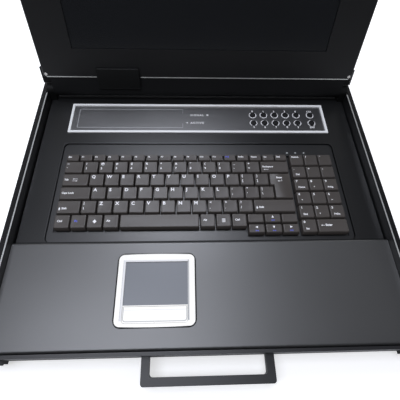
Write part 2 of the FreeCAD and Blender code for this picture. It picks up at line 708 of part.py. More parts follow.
def touchpad_outline(gap):
    """The touchpad bezel seen from above: straight sides, and a gently bulging front and back."""
    left, right = f"touch_left - {gap}", f"touch_right + {gap}"
    front = f"touch_front + touch_crown - {gap}"
    back = f"touch_back - touch_crown + {gap}"
    return [(left, front, "touch_crown"), (right, front), (right, back, "touch_crown"), (left, back)]


def make_palm_rest():
    """Moulded wrist support, hollow below, with the touchpad's cut-out."""
    half = "palm_half"
    piece = Piece("palm_rest")
    piece.add("YZ", f"-1 * {half}", half, rect("palm_front", "palm_back", FLOOR, "palm_top"))
    piece.round("palm_round", "X", lambda point, edge_box: edge_box.ZMax - point.z < 0.01)
    piece.cut("YZ", f"-1 * {half} + palm_wall", f"{half} - palm_wall",
              rect("palm_front + palm_wall", "palm_back - palm_wall", FLOOR, "palm_top - palm_wall"))
    piece.cut("XY", "palm_top - palm_wall", "palm_top", touchpad_outline("touch_gap"))
    piece.round("touch_round + touch_gap", "Z", lambda point, edge_box:
                abs(point.x - edge_box.Center.x) < edge_box.XLength / 2 - 5)


# ------------------------------------------------------------------ keyboard
def make_keyboard_case():
    """Moulded frame round the keys and the pan under them."""
    outer = rect("case_left", "case_right", "case_front", "case_back")
    case = Piece("keyboard_case").add("XY", PLATE_TOP, "case_top", outer)
    case.round("case_round", "Z", at_corner)
    margin = "field_margin"
    left, right = f"key_left - {margin}", f"{FIELD_RIGHT} + {margin}"
    step = f"key_left + 12 * key_unit - {margin}"
    low, rise = f"arrow_front - {margin}", f"bottom_front - {margin}"
    case.cut("XY", PLATE_TOP, "case_top",
             [(left, rise), (step, rise), (step, low), (right, low),
              (right, f"{FIELD_BACK} + {margin}"), (left, f"{FIELD_BACK} + {margin}")])
    base = Piece("keyboard_base").add("XY", "case_low", PLATE_TOP, outer)
    base.round("case_round", "Z", at_corner)
    base.cut("XY", "case_low + sheet_metal", PLATE_TOP,
             rect("case_left + case_wall", "case_right - case_wall",
                  "case_front + case_wall", "case_back - case_wall"))
    base.add("XY", FLOOR, "case_low",
             *[("circle", x, y, "foot_radius")
               for x in ("case_left + foot_inset", "(case_left + case_right) / 2",
                         "case_right - foot_inset")
               for y in ("case_front + foot_inset", "case_back - foot_inset")])
    case.cut("XY", PLATE_TOP, "case_top",
             *[("circle", f"led_at + {step} * led_pitch", "led_line", "led_radius")
               for step in range(3)])


def key_rows():
    """Each key as (group, left, front, width, depth, stemmed): all but the depth of rows in key units."""
    letters = [1] * 10
    rows = [
        ("keys_function", "function_front", [15.25 / 17] * 17),
        ("keys_number", "number_front", [1.25] + [1] * 12 + [2]),
        ("keys_upper", "number_front - key_unit", [1.75] + letters + [1, 1]),
        ("keys_home", "number_front - 2 * key_unit", [2] + letters + [1, 1]),
        ("keys_lower", "number_front - 3 * key_unit", [1.5, 1] + letters + [2.75]),
        ("keys_bottom", "bottom_front", [1, 1, 1, 1, -5, 1, 1, 1]),
    ]
    keys = []
    for name, front, widths in rows:
        left = 0.0
        deep = "function_deep" if name == "keys_function" else "key_unit"
        for width in widths:
            label = "space_bar" if width < 0 else name
            keys.append((label, f"key_left + {left} * key_unit", front, abs(width), deep))
            left += abs(width)
    third = 3.25 / 3
    for row in range(2):
        for column in range(3):
            keys.append(("keys_arrow", f"key_left + {12 + column * third} * key_unit",
                         f"arrow_front + {row} * arrow_deep", third, "arrow_deep"))
    for row in range(6):
        for left, width in ((0, 1), (1, 1), (2, 1)) if row else ((0, 1), (1, 2)):
            keys.append(("keys_numpad", f"pad_left + {left} * key_unit",
                         f"arrow_front + {row} * key_unit", width, "key_unit"))
    return keys


def key_cap(left, front, wide, deep, extra=""):
    """A tapered cap, wider at its foot than at its top."""
    cap = doc.addObject("Part::Wedge", "key_cap")
    cap.Placement = FreeCAD.Placement(FreeCAD.Vector(), FreeCAD.Rotation(FreeCAD.Vector(1, 0, 0), 90))
    foot_wide = f"({wide} * key_unit - 2 * key_inset)"
    foot_deep = f"({deep} - 2 * key_inset{extra})"
    values = {
        "Xmin": "0", "Xmax": foot_wide, "Zmin": f"-1 * {foot_deep}", "Zmax": "0",
        "Ymin": "0", "Ymax": "key_top - key_low",
        "X2min": "key_taper", "X2max": f"{foot_wide} - key_taper",
        "Z2min": f"-1 * {foot_deep} + key_taper", "Z2max": "-1 * key_slope",
    }
    for name, value in values.items():
        cap.setExpression(name, bind(value))
    return place(cap, f"{left} + key_inset", f"{front} + key_inset", "key_low")


def key_stem(left, front, wide, deep, wider="0"):
    """The square stem, or with `wider` the hole that guides it."""
    middle_x = f"{left} + {wide} * key_unit / 2"
    middle_y = f"{front} + {deep} / 2"
    half = f"(stem_wide / 2 + {wider})"
    if wider == "0":
        low, high = "stem_low", "key_low"
    else:
        low, high = "plate_low - 1", f"{PLATE_TOP} + 1"
    return box("key_stem", (f"{middle_x} - {half}", f"{middle_x} + {half}"),
               (f"{middle_y} - {half}", f"{middle_y} + {half}"), (low, high))


def make_keys():
    """All key caps in their rows, and the guide plate with a hole for each stem."""
    groups = {}
    holes = []
    for label, left, front, wide, deep in key_rows():
        key = fuse("key", [key_cap(left, front, wide, deep), key_stem(left, front, wide, deep)])
        groups.setdefault(label, []).append(key)
        holes.append(key_stem(left, front, wide, deep, "stem_play"))
    upper = ("key_left + 13.75 * key_unit", "number_front - key_unit", 1.5, "key_unit")
    lower = ("key_left + 14 * key_unit", "number_front - 2 * key_unit", 1.25, "(2 * key_unit)")
    groups["enter_key"] = [fuse("key", [key_cap(*upper), key_cap(*lower), key_stem(*lower)])]
    holes.append(key_stem(*lower, "stem_play"))
    for label, keys in groups.items():
        keep(label, keys[0] if len(keys) == 1 else group(label + "_group", keys))
    wall = "(case_wall + touch_gap)"
    plate = box("plate", (f"case_left + {wall}", f"case_right - {wall}"),
                (f"case_front + {wall}", f"case_back - {wall}"), ("plate_low", PLATE_TOP))
    keep("key_plate", cut_away("key_plate_cut", plate, group("plate_holes", holes)))


def make_keyboard_inside():
    wall = "(case_wall + touch_gap)"
    floor = "(case_low + sheet_metal)"
    span = ((f"case_left + {wall}", f"case_right - {wall}"),
            (f"case_front + {wall}", f"case_back - {wall}"))
    keep("keyboard_circuit", box("keyboard_board", *span, (floor, f"{floor} + board_thick")))
    stack = box("dome_mat", *span, (f"{floor} + board_thick", f"{floor} + board_thick + 0.3"))
    keep("rubber_dome_sheet", stack)
    lamps = [cylinder("lamp", f"led_at + {step} * led_pitch", "led_line", PLATE_TOP,
                      "case_top + 0.2", "led_radius") for step in range(3)]
    keep("keyboard_lamps", group("keyboard_lamp_group", lamps))


# ------------------------------------------------------------------ touchpad
def make_touchpad():
    bezel = Piece("touchpad_bezel").add("XY", "touch_low", "touch_top", touchpad_outline("0"))
    bezel.round("touch_round", "Z", at_side)
    bezel.cut("XY", "touch_low", "touch_top",
              rect("sensor_left", "sensor_right", "sensor_front", "sensor_back"))
    bezel.cut("XY", "touch_low", "touch_top",
              rect("sensor_left", "sensor_right", "button_front - button_play",
                   "button_back + button_play"))
    bezel.round("window_round", "Z", lambda point, edge_box:
                abs(point.x - edge_box.Center.x) < edge_box.XLength / 2 - 3
                and point.y < edge_box.YMin + 8)
    play = "button_play"
    keep("touch_surface", box("touch_plate", ("sensor_left", "sensor_right"),
                              ("sensor_front", "sensor_back"),
                              ("sensor_top - board_thick", "sensor_top")))
    keep("touchpad_circuit", box("touch_board", ("touch_left + 1", "touch_right - 1"),
                                 ("touch_front + 1", "touch_back - 1"),
                                 ("touch_low - board_thick", "touch_low")))
    middle = "(sensor_left + sensor_right) / 2"
    sides = {"left": (f"sensor_left + {play}", f"{middle} - {play} / 2"),
             "right": (f"{middle} + {play} / 2", f"sensor_right - {play}")}
    for side, across in sides.items():
        button = Piece(f"touchpad_button_{side}")
        button.add("XY", "touch_low + button_travel + 0.3", "button_top",
                   rect(across[0], across[1], "button_front", "button_back"))
        outer = min if side == "left" else max
        button.round("window_round - button_play", "Z", lambda point, edge_box:
                     abs(point.x - outer(edge_box.XMin, edge_box.XMax)) < 0.01
                     and point.y < edge_box.Center.y)


# ------------------------------------------------------------------ switch panel
def port_places():
    """Rows of button centres: five in a line and one further off."""
    for name, line in (("port_buttons_upper", "port_upper"), ("port_buttons_lower", "port_lower")):
        across = [f"port_left + {step} * port_pitch" for step in range(5)] + ["port_extra"]
        yield name, [(x, line) for x in across]


def make_switch_panel():
    outer = rect("panel_left", "panel_right", "panel_front", "panel_back")
    bar = "frame_bar"
    skirt = "(frame_bar - frame_skirt)"
    window = rect(f"panel_left + {bar}", f"panel_right - {bar}",
                  f"panel_front + {bar}", f"panel_back - {bar}")
    collar = rect(f"panel_left + {skirt}", f"panel_right - {skirt}",
                  f"panel_front + {skirt}", f"panel_back - {skirt}")
    frame = Piece("switch_frame").add("XY", "deck_top", "frame_top", outer)
    frame.add("XY", "face_low", "deck_top", collar)
    frame.cut("XY", "face_low", "frame_top", window)
    face = Piece("switch_face").add("XY", "face_low", "face_top", window)
    boards = Piece("switch_board").add("XY", "port_board", BOARD_TOP, window)
    for name, places in port_places():
        face.cut("XY", "face_low", "face_top",
                 *[("circle", x, y, "port_radius + button_play") for x, y in places])
        buttons = []
        for x, y in places:
            cap = cylinder("port_cap", x, y, f"{BOARD_TOP} + port_travel + 0.1", "port_top",
                           "port_radius")
            flange = cylinder("port_flange", x, y, f"{BOARD_TOP} + port_travel + 0.1",
                              "face_low - button_play", "port_flange")
            buttons.append(fuse("port_button", [cap, flange]))
        keep(name, group(name + "_group", buttons))
    for x in ("panel_left + 12", "panel_right - 12"):
        face.add("XY", BOARD_TOP, "face_low",
                 *[("circle", x, y, "screw_radius") for y in ("panel_front + 10", "panel_back - 10")])
    return boards


# ------------------------------------------------------------------ hinge
def make_hinge():
    """Fixed knuckles on the tray walls and pins that turn in them with the lid."""
    bore = "pin_radius + pin_fit"
    knuckle = Piece("knuckle_right", False)
    inner = "barrel_half + joint_gap"
    knuckle.add("YZ", inner, "wall_inner",
                rect("hinge_at - barrel_radius", "hinge_at + barrel_radius",
                     "deck_top", "hinge_up"))
    knuckle.add("YZ", inner, "wall_inner", ("circle", "hinge_at", "hinge_up", "barrel_radius"))
    knuckle.cut("YZ", inner, "wall_inner", ("circle", "hinge_at", "hinge_up", bore))
    twin = mirrored("knuckle_twin", knuckle.body)
    keep("hinge_knuckles", group("knuckle_group", [knuckle.body, twin]))
    pin = rod("pin", "X", "barrel_half - 20", "knuckle_half", "0", "0", "pin_radius")
    pin_twin = mirrored("pin_twin", pin)
    keep("hinge_pins", on_lid(group("pin_group", [pin, pin_twin])))


# ------------------------------------------------------------------ lid, modelled lying shut
def make_lid_bezel():
    """Frame round the screen: Y runs from the hinge to the free edge as negative values."""
    face = f"-1 * {LID_HALF}"
    far = "-1 * lid_long"
    wall = "lid_wall"
    piece = Piece("screen_bezel")
    piece.add("XY", face, "lid_split",
              rect("-1 * bezel_half", "bezel_half", far, "-1 * bezel_start"))
    for axis in "XY":
        piece.round("edge_break", axis, lambda point, edge_box: point.z - edge_box.ZMin < 0.01,
                    "Chamfer")
    piece.cut("XY", f"{face} + {wall}", "lid_split",
              rect(f"-1 * bezel_half + {wall}", f"bezel_half - {wall}",
                   f"{far} + {wall}", f"-1 * bezel_start - {wall}"))
    piece.cut("XY", face, f"{face} + {wall}",
              rect("-1 * screen_wide / 2", "screen_wide / 2",
                   "-1 * screen_start - screen_high", "-1 * screen_start"))
    piece.cut("XY", face, f"{face} + {wall}",
              *[("circle", "control_line", f"-1 * control_start - {step} * control_pitch",
                 "control_radius + button_play") for step in range(5)])
    on_lid(piece.body)


def make_lid_cover():
    """Back shell of the lid with the barrel of the hinge and the two lower corners."""
    far = "-1 * lid_long"
    wall = "lid_wall"
    piece = Piece("lid_cover")
    piece.add("XY", "lid_split", LID_HALF,
              rect("-1 * cover_half", "cover_half", far, "-1 * cover_start"))
    piece.round("lid_round", "X", lambda point, edge_box:
                edge_box.ZMax - point.z < 0.01 and point.y - edge_box.YMin < 0.01)
    piece.round("lid_round", "Y", lambda point, edge_box: edge_box.ZMax - point.z < 0.01)
    piece.cut("XY", "lid_split", f"{LID_HALF} - {wall}",
              rect(f"-1 * bezel_half + {wall}", f"bezel_half - {wall}",
                   f"{far} + {wall}", f"-1 * bezel_start - {wall}"))
    piece.add("YZ", "-1 * barrel_half", "barrel_half",
              [("-1 * bezel_start", "lid_split"),
               ("-1 * bezel_start + joint_gap", "-1 * barrel_radius + chin_step"),
               ("0", "-1 * barrel_radius"), ("0", "barrel_radius"),
               ("-1 * bezel_start", "barrel_radius")])
    piece.add("YZ", "-1 * barrel_half", "barrel_half", ("circle", "0", "0", "barrel_radius"))
    piece.cut("YZ", "-1 * barrel_half", "-1 * barrel_half + 20.5", ("circle", "0", "0", "pin_radius"))
    piece.cut("YZ", "barrel_half - 20.5", "barrel_half", ("circle", "0", "0", "pin_radius"))
    for side in ("-1 *", "1 *"):
        low, high = (("-1 * ear_half", "-1 * cover_half") if side == "-1 *"
                     else ("cover_half", "ear_half"))
        piece.add("XY", "lid_split", f"{LID_HALF} - lid_round",
                  rect(low, high, "-1 * ear_end", "-1 * cover_start"))
    on_lid(piece.body)


def make_screen():
    """Protective glass behind the bezel, display module, its board and the control buttons."""
    face = f"-1 * {LID_HALF} + lid_wall"
    rest = "screen_rest"
    across = (f"-1 * screen_wide / 2 - {rest}", f"screen_wide / 2 + {rest}")
    along = (f"-1 * screen_start - screen_high - {rest}", f"-1 * screen_start + {rest}")
    keep("screen_glass", on_lid(group("glass_group", [
        box("glass", across, along, (face, f"{face} + screen_glass"))])))
    back = f"{face} + screen_glass"
    keep("display_module", on_lid(group("module_group", [
        box("module", across, along, (back, f"{back} + module_thick"))])))
    behind = f"{back} + module_thick"
    buttons = [cylinder("control", "control_line", f"-1 * control_start - {step} * control_pitch",
                        f"-1 * {LID_HALF} - 0.2", f"{face} + 2.5", "control_radius")
               for step in range(5)]
    keep("screen_controls", on_lid(group("control_group", buttons)))
    level = f"{face} + 2.5 + control_travel + 0.2"
    ends = ("-1 * control_start - 5 * control_pitch + 4", "-1 * control_start + control_pitch - 4")
    strip = box("control_circuit", ("control_line - 8", "control_line + 8"),
                (f"{ends[0]} - 4", f"{ends[1]} + 4"), (level, f"{level} + board_thick"))
    posts = [cylinder("control_post", "control_line", y, face, level, "thread_radius")
             for y in ends]
    display = box("display_circuit", ("-1 * board_half", "board_half"),
                  ("-1 * board_start - board_long", "-1 * board_start"),
                  (behind, f"{behind} + board_thick"))
    keep("display_boards", on_lid(group("display_board_group",
                                        [display, fuse("control_board", [strip] + posts)])))


def make_lid_trim():
    out = f"-1 * {LID_HALF} - cable_out"
    face = f"-1 * {LID_HALF}"
    cover = Piece("cable_cover").add("XY", out, face,
                                     rect("cable_left", "cable_right", "-1 * cable_end",
                                          "-1 * cable_start"))
    on_lid(cover.body)
    heads = []
    for side in ("-1 *", "1 *"):
        for along in ("(bezel_start + screw_inset)", "(lid_long - 2 * screw_inset)"):
            heads.append(cylinder("lid_screw", f"{side} (bezel_half - screw_inset)", f"-1 * {along}",
                                  f"{face} - screw_high / 3", face, "small_screw"))
    keep("lid_screws", on_lid(group("lid_screw_group", heads)))
    pads = [cylinder("bumper", f"{side} (bezel_half - bumper_inset)", "bumper_inset / 3 - lid_long",
                     f"{face} - bumper_high", face, "bumper_radius") for side in ("-1 *", "1 *")]
    keep("lid_bumpers", on_lid(group("bumper_group", pads)))


# ------------------------------------------------------------------ switch box behind the hinge
def make_switch_box():
    half = "box_half"
    wall = "sheet_metal"
    body = Piece("switch_box")
    body.add("XY", FLOOR, "box_top", rect(f"-1 * {half}", half, "box_front", "tray_back"))
    body.cut("XY", f"{FLOOR} + {wall}", "box_top",
             rect(f"-1 * {half} + {wall}", f"{half} - {wall}",
                  f"box_front + {wall}", f"tray_back - {wall}"))
    holes = [rect(f"socket_first + {step} * socket_pitch - socket_wide / 2",
                  f"socket_first + {step} * socket_pitch + socket_wide / 2",
                  "socket_level - socket_high / 2", "socket_level + socket_high / 2")
             for step in range(8)]
    holes.append(rect("inlet_at - inlet_wide / 2", "inlet_at + inlet_wide / 2",
                      "socket_level - inlet_high / 2", "socket_level + inlet_high / 2"))
    body.cut("XZ", f"tray_back - {wall}", "tray_back", *holes)
    keep("switch_box_lid", box("box_lid", (f"-1 * {half}", half), ("box_front", "tray_back"),
                               ("box_top", "box_top + sheet_metal")))
    bed = f"{FLOOR} + {wall} + post_high"
    keep("switch_circuit", box("main_board", (f"board_inset - {half}", f"{half} - board_inset"),
                               ("box_front + board_inset", "tray_back - inlet_deep - shell_wall"),
                               (bed, f"{bed} + board_thick")))
    posts = [cylinder("post", f"{side} ({half} - post_inset)", y, f"{FLOOR} + {wall}", bed,
                      "screw_radius")
             for side in ("-1 *", "1 *")
             for y in ("box_front + 2 * board_inset", "tray_back - inlet_deep - board_inset")]
    keep("board_posts", group("post_group", posts))
    sockets = []
    for step in range(8):
        middle = f"socket_first + {step} * socket_pitch"
        shell = box("socket", (f"{middle} - socket_wide / 2", f"{middle} + socket_wide / 2"),
                    ("tray_back - socket_deep", "tray_back"),
                    ("socket_level - socket_high / 2", "socket_level + socket_high / 2"))
        hollow = box("socket_hollow",
                     (f"{middle} - socket_wide / 2 + shell_wall", f"{middle} + socket_wide / 2 - shell_wall"),
                     ("tray_back - socket_deep + shell_back", "tray_back + 1"),
                     ("socket_level - socket_high / 2 + shell_wall",
                      "socket_level + socket_high / 2 - shell_wall"))
        sockets.append(cut_away("socket_body", shell, hollow))
    keep("computer_sockets", group("socket_group", sockets))
    shell = box("inlet", ("inlet_at - inlet_wide / 2", "inlet_at + inlet_wide / 2"),
                ("tray_back - inlet_deep", "tray_back"),
                ("socket_level - inlet_high / 2", "socket_level + inlet_high / 2"))
    hollow = box("inlet_hollow",
                 ("inlet_at - inlet_wide / 2 + shell_wall", "inlet_at + inlet_wide / 2 - shell_wall"),
                 ("tray_back - inlet_deep + shell_back", "tray_back + 1"),
                 ("socket_level - inlet_high / 2 + shell_wall",
                  "socket_level + inlet_high / 2 - shell_wall"))
    pins = [box("inlet_pin", (f"inlet_at + {x} - 1", f"inlet_at + {x} + 1"),
                ("tray_back - inlet_deep + shell_back", "tray_back - shell_back"),
                (f"socket_level + {z} - 2", f"socket_level + {z} + 2"))
            for x, z in ((-7, 2), (0, -3), (7, 2))]
    keep("mains_inlet", fuse("inlet_body", [cut_away("inlet_shell", shell, hollow)] + pins))


make_rails()
make_ball_cages()
make_ears()
make_rear_brackets()
make_rail_screws()
make_tray()
make_front_panel()
make_handle()
make_latches()
make_deck()
make_palm_rest()
make_keyboard_case()
make_keys()
make_keyboard_inside()
make_touchpad()
make_switch_panel()
make_hinge()
make_lid_bezel()
make_lid_cover()
make_screen()
make_lid_trim()
make_switch_box()
doc.recompute()

# ------------------------------------------------------------------ checks and export
for obj in doc.Objects:
    broken = [state for state in obj.State if state in ("Invalid", "Error")]
    if broken:
        raise RuntimeError(f"{obj.Name} ({obj.Label}) is {broken}")
for label, obj in NODES.items():
    if obj.Shape.isNull() or not obj.Shape.isValid() or not obj.Shape.Solids:
        raise RuntimeError(f"{label} has no valid solid")
for label, obj in NODES.items():
    obj.Shape.exportStep(f"parts/{label}.step")
    box_of = obj.Shape.BoundBox
    print(f"{label:24s} solids {len(obj.Shape.Solids):3d}  volume {obj.Shape.Volume / 1000:9.1f} cm3  "
          f"x {box_of.XMin:7.1f} {box_of.XMax:7.1f}  y {box_of.YMin:7.1f} {box_of.YMax:7.1f}  "
          f"z {box_of.ZMin:7.1f} {box_of.ZMax:7.1f}")
print(len(NODES), "sub-parts")
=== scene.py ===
import json
import math
import bpy
import numpy as np
from mathutils import Matrix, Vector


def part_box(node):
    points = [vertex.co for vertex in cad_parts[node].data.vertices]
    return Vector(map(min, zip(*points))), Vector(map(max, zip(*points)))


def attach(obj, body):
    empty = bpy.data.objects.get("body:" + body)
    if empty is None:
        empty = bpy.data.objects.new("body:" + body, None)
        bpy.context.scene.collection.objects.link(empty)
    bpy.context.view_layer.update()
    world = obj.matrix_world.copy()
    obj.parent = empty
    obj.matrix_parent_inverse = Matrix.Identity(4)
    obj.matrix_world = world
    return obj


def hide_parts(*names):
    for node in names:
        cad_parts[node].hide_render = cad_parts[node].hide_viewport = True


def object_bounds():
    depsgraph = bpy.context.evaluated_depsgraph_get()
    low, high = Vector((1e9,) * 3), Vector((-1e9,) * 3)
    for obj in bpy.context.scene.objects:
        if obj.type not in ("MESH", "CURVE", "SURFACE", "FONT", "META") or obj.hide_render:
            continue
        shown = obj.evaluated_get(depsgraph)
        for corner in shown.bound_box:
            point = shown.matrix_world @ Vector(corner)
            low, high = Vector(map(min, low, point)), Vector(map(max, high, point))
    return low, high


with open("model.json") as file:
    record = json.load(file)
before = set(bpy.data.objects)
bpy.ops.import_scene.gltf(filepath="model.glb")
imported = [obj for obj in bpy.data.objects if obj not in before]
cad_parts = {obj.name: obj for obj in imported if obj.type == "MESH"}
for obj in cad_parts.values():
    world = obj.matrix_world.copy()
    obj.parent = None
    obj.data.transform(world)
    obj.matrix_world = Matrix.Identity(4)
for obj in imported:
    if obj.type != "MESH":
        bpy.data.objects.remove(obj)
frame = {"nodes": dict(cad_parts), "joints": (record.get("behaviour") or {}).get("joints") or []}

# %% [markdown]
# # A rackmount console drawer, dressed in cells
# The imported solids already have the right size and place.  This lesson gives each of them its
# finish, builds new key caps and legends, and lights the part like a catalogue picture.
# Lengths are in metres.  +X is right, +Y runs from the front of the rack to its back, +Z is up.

MM = 0.001
cad_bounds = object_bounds()
cad_box = [list(map(float, corner)) for corner in cad_bounds]
print("the part measures", [round(high - low, 4) for low, high in zip(*cad_box)])


def span(node):
    """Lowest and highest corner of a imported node, as two arrays."""
    low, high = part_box(node)
    return np.array(low, dtype=float), np.array(high, dtype=float)


# %% [markdown]
# ## The camera
# A drawer like this is usually shown from just above its front edge, looking down at the keys.
# The camera is described by where it stands and by three angles: how far it looks down, how far
# it turns to the right, and how far it rolls.  From these come the three axes of its frame.
# A constraint that tracks a point would be quicker to set, but it can't hold the roll.

# %% Camera
LENS = 28.86            # millimetres, on a sensor 36 mm wide
LOOK_DOWN = math.radians(61.99)
TURN_RIGHT = math.radians(5.02)
ROLL = math.radians(4.08)
STAND = (-0.0199, -0.0157, 0.3524)


def camera_axes(down, turn, roll):
    """Forward from the two angles; right is level; up completes them; roll mixes right and up."""
    forward = np.array([math.sin(turn) * math.cos(down), math.cos(turn) * math.cos(down), -math.sin(down)])
    right = np.array([math.cos(turn), -math.sin(turn), 0.0])
    up = np.cross(right, forward)
    across = math.cos(roll) * right + math.sin(roll) * up
    upward = -math.sin(roll) * right + math.cos(roll) * up
    return across, upward, -forward


camera_data = bpy.data.cameras.new("camera")
camera_data.lens = LENS
camera_data.sensor_width = 36.0
camera = bpy.data.objects.new("camera", camera_data)
bpy.context.scene.collection.objects.link(camera)
columns = np.eye(4)
for column, axis in enumerate(camera_axes(LOOK_DOWN, TURN_RIGHT, ROLL)):
    columns[:3, column] = axis
columns[:3, 3] = STAND
camera.matrix_world = Matrix(columns.tolist())
bpy.context.scene.camera = camera
print("camera stands at", STAND)

# %% [markdown]
# ## Finishes
# A painted or moulded surface is never one flat colour: its gloss and tint wander a little, and a
# fine grain breaks up the highlights.  One helper builds such a finish from the object's own
# coordinates, so the pattern stays where it is when a part moves.  An image could do the same,
# but every piece would need its own unwrapped map.

# %% A helper for finishes
FINISHES = {}


def finish_of(name, colour, rough, metal=0.0, grain=900.0, bump=0.08, drift=0.12, spread=0.06,
              coat=0.0, coat_rough=0.12, brushed=(1.0, 1.0, 1.0), ior=1.45):
    """Principled surface whose colour and roughness wander with slow noise and whose bump is grain."""
    material = bpy.data.materials.new(name)
    material.use_nodes = True
    tree = material.node_tree
    nodes, links = tree.nodes, tree.links
    surface = nodes["Principled BSDF"]
    surface.inputs["Metallic"].default_value = metal
    surface.inputs["IOR"].default_value = ior
    surface.inputs["Coat Weight"].default_value = coat
    surface.inputs["Coat Roughness"].default_value = coat_rough
    place = nodes.new("ShaderNodeTexCoord")
    stretch = nodes.new("ShaderNodeMapping")
    stretch.inputs["Scale"].default_value = brushed
    links.new(place.outputs["Object"], stretch.inputs["Vector"])
    slow = nodes.new("ShaderNodeTexNoise")
    slow.inputs["Scale"].default_value = 14.0
    slow.inputs["Detail"].default_value = 4.0
    links.new(place.outputs["Object"], slow.inputs["Vector"])
    fine = nodes.new("ShaderNodeTexNoise")
    fine.inputs["Scale"].default_value = grain
    fine.inputs["Detail"].default_value = 3.0
    links.new(stretch.outputs["Vector"], fine.inputs["Vector"])
    tint = nodes.new("ShaderNodeMix")
    tint.data_type = "RGBA"
    base = np.array(colour)
    tint.inputs["A"].default_value = (*np.clip(base * (1 - drift), 0, 1), 1)
    tint.inputs["B"].default_value = (*np.clip(base * (1 + drift), 0, 1), 1)
    links.new(slow.outputs["Fac"], tint.inputs["Factor"])
    links.new(tint.outputs["Result"], surface.inputs["Base Color"])
    gloss = nodes.new("ShaderNodeMapRange")
    gloss.inputs["To Min"].default_value = max(rough - spread, 0.02)
    gloss.inputs["To Max"].default_value = min(rough + spread, 1.0)
    links.new(fine.outputs["Fac"], gloss.inputs["Value"])
    links.new(gloss.outputs["Result"], surface.inputs["Roughness"])
    relief = nodes.new("ShaderNodeBump")
    relief.inputs["Strength"].default_value = bump
    relief.inputs["Distance"].default_value = 0.0002
    links.new(fine.outputs["Fac"], relief.inputs["Height"])
    links.new(relief.outputs["Normal"], surface.inputs["Normal"])
    FINISHES[name] = material
    return material


def dress(node, material):
    """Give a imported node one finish; its mesh is left as it is."""
    packed = frame["nodes"][node]
    packed.data.materials.clear()
    packed.data.materials.append(material)


# %% [markdown]
# ## Powder coat, plastic, zinc and silver
# The tray and deck are powder-coated sheet, near black and satin.  The palm rest is a metallic
# grey lacquer that takes the light of the ceiling.  Key caps are matt grained plastic.  The slides
# are zinc plated and drawn lengthwise, which stretches their grain along Y.  All of them are the
# same kind of surface with other numbers, so they stand together as one list.

# %% The finishes of this drawer
deck_coat = finish_of("deck_coat", (0.0085, 0.0088, 0.0095), 0.3, grain=1600, bump=0.04, ior=1.4,
                      coat=1.0, coat_rough=0.3)
rail_coat = finish_of("rail_coat", (0.0050, 0.0050, 0.0056), 0.36, grain=1500, bump=0.08, ior=1.38)
panel_coat = finish_of("panel_coat", (0.012, 0.012, 0.0135), 0.40, grain=1500, bump=0.10)
palm_lacquer = finish_of("palm_lacquer", (0.112, 0.1125, 0.113), 0.4, metal=0.7, grain=2600, bump=0.02,
                         drift=0.05, spread=0.03, ior=1.7)
case_plastic = finish_of("case_plastic", (0.0070, 0.0072, 0.0084), 0.38, grain=2200, bump=0.05, ior=1.5,
                         coat=0.8, coat_rough=0.34)
key_plastic = finish_of("key_plastic", (0.056, 0.049, 0.045), 0.40, grain=2600, bump=0.06, ior=1.5)
# this finish paints the highlight on the edge of the deck's cut-out
painted_edge_highlight = finish_of("painted_edge_highlight", (0.16, 0.165, 0.17), 0.30, metal=1.0, grain=1800, bump=0.03)
legend_ink = finish_of("legend_ink", (0.86, 0.86, 0.88), 0.5, grain=3000, bump=0.02, drift=0.03)
grey_ink = finish_of("grey_ink", (0.50, 0.51, 0.53), 0.5, grain=3000, bump=0.02, drift=0.04)
blue_ink = finish_of("blue_ink", (0.10, 0.13, 0.70), 0.5, grain=3000, bump=0.02, drift=0.05)
white_paint = finish_of("white_paint", (0.90, 0.88, 0.82), 0.28, grain=2400, bump=0.02,
                        drift=0.02, spread=0.04)
silver_paint = finish_of("silver_paint", (0.70, 0.70, 0.70), 0.42, grain=2400, bump=0.02, drift=0.02)
bevel_shade = finish_of("bevel_shade", (0.42, 0.42, 0.42), 0.45, grain=2400, bump=0.02, drift=0.02)
anodised_silver = finish_of("anodised_silver", (0.90, 0.91, 0.92), 0.34, metal=0.08, grain=1800, bump=0.04,
                            drift=0.03, brushed=(0.02, 1, 1))
touch_film = finish_of("touch_film", (0.138, 0.148, 0.166), 0.34, grain=3000, bump=0.02, drift=0.03, ior=1.5)
zinc_plate = finish_of("zinc_plate", (0.56, 0.57, 0.58), 0.28, metal=0.95, grain=1200, bump=0.08,
                       drift=0.08, brushed=(1, 0.02, 1))
# bare metal of the wall edges; the same finish paints the highlight along the lid's lower edge
bare_metal_and_painted_highlight = finish_of("bare_metal_and_painted_highlight", (0.62, 0.63, 0.62), 0.28, metal=0.55, grain=1500, bump=0.06,
                       drift=0.06, brushed=(1, 0.03, 1))
ball_steel = finish_of("ball_steel", (0.62, 0.63, 0.65), 0.18, metal=1.0, grain=900, bump=0.02)
screw_nickel = finish_of("screw_nickel", (0.72, 0.71, 0.69), 0.26, metal=0.95, grain=1400, bump=0.05)
circuit_green = finish_of("circuit_green", (0.02, 0.11, 0.05), 0.35, grain=700, bump=0.05, coat=0.3)
dome_silicone = finish_of("dome_silicone", (0.42, 0.42, 0.40), 0.55, grain=800, bump=0.04)
lamp_lens = finish_of("lamp_lens", (0.34, 0.36, 0.36), 0.25, grain=500, bump=0.01, coat=0.3)
switch_plastic = finish_of("switch_plastic", (0.0085, 0.0087, 0.0110), 0.36, grain=2400, bump=0.03, ior=2.8,
                           coat=1.0, coat_rough=0.36)
button_rubber = finish_of("button_rubber", (0.012, 0.012, 0.013), 0.40, grain=2200, bump=0.06)
lid_paint = finish_of("lid_paint", (0.0105, 0.0107, 0.0115), 0.36, grain=1700, bump=0.06, ior=1.38)
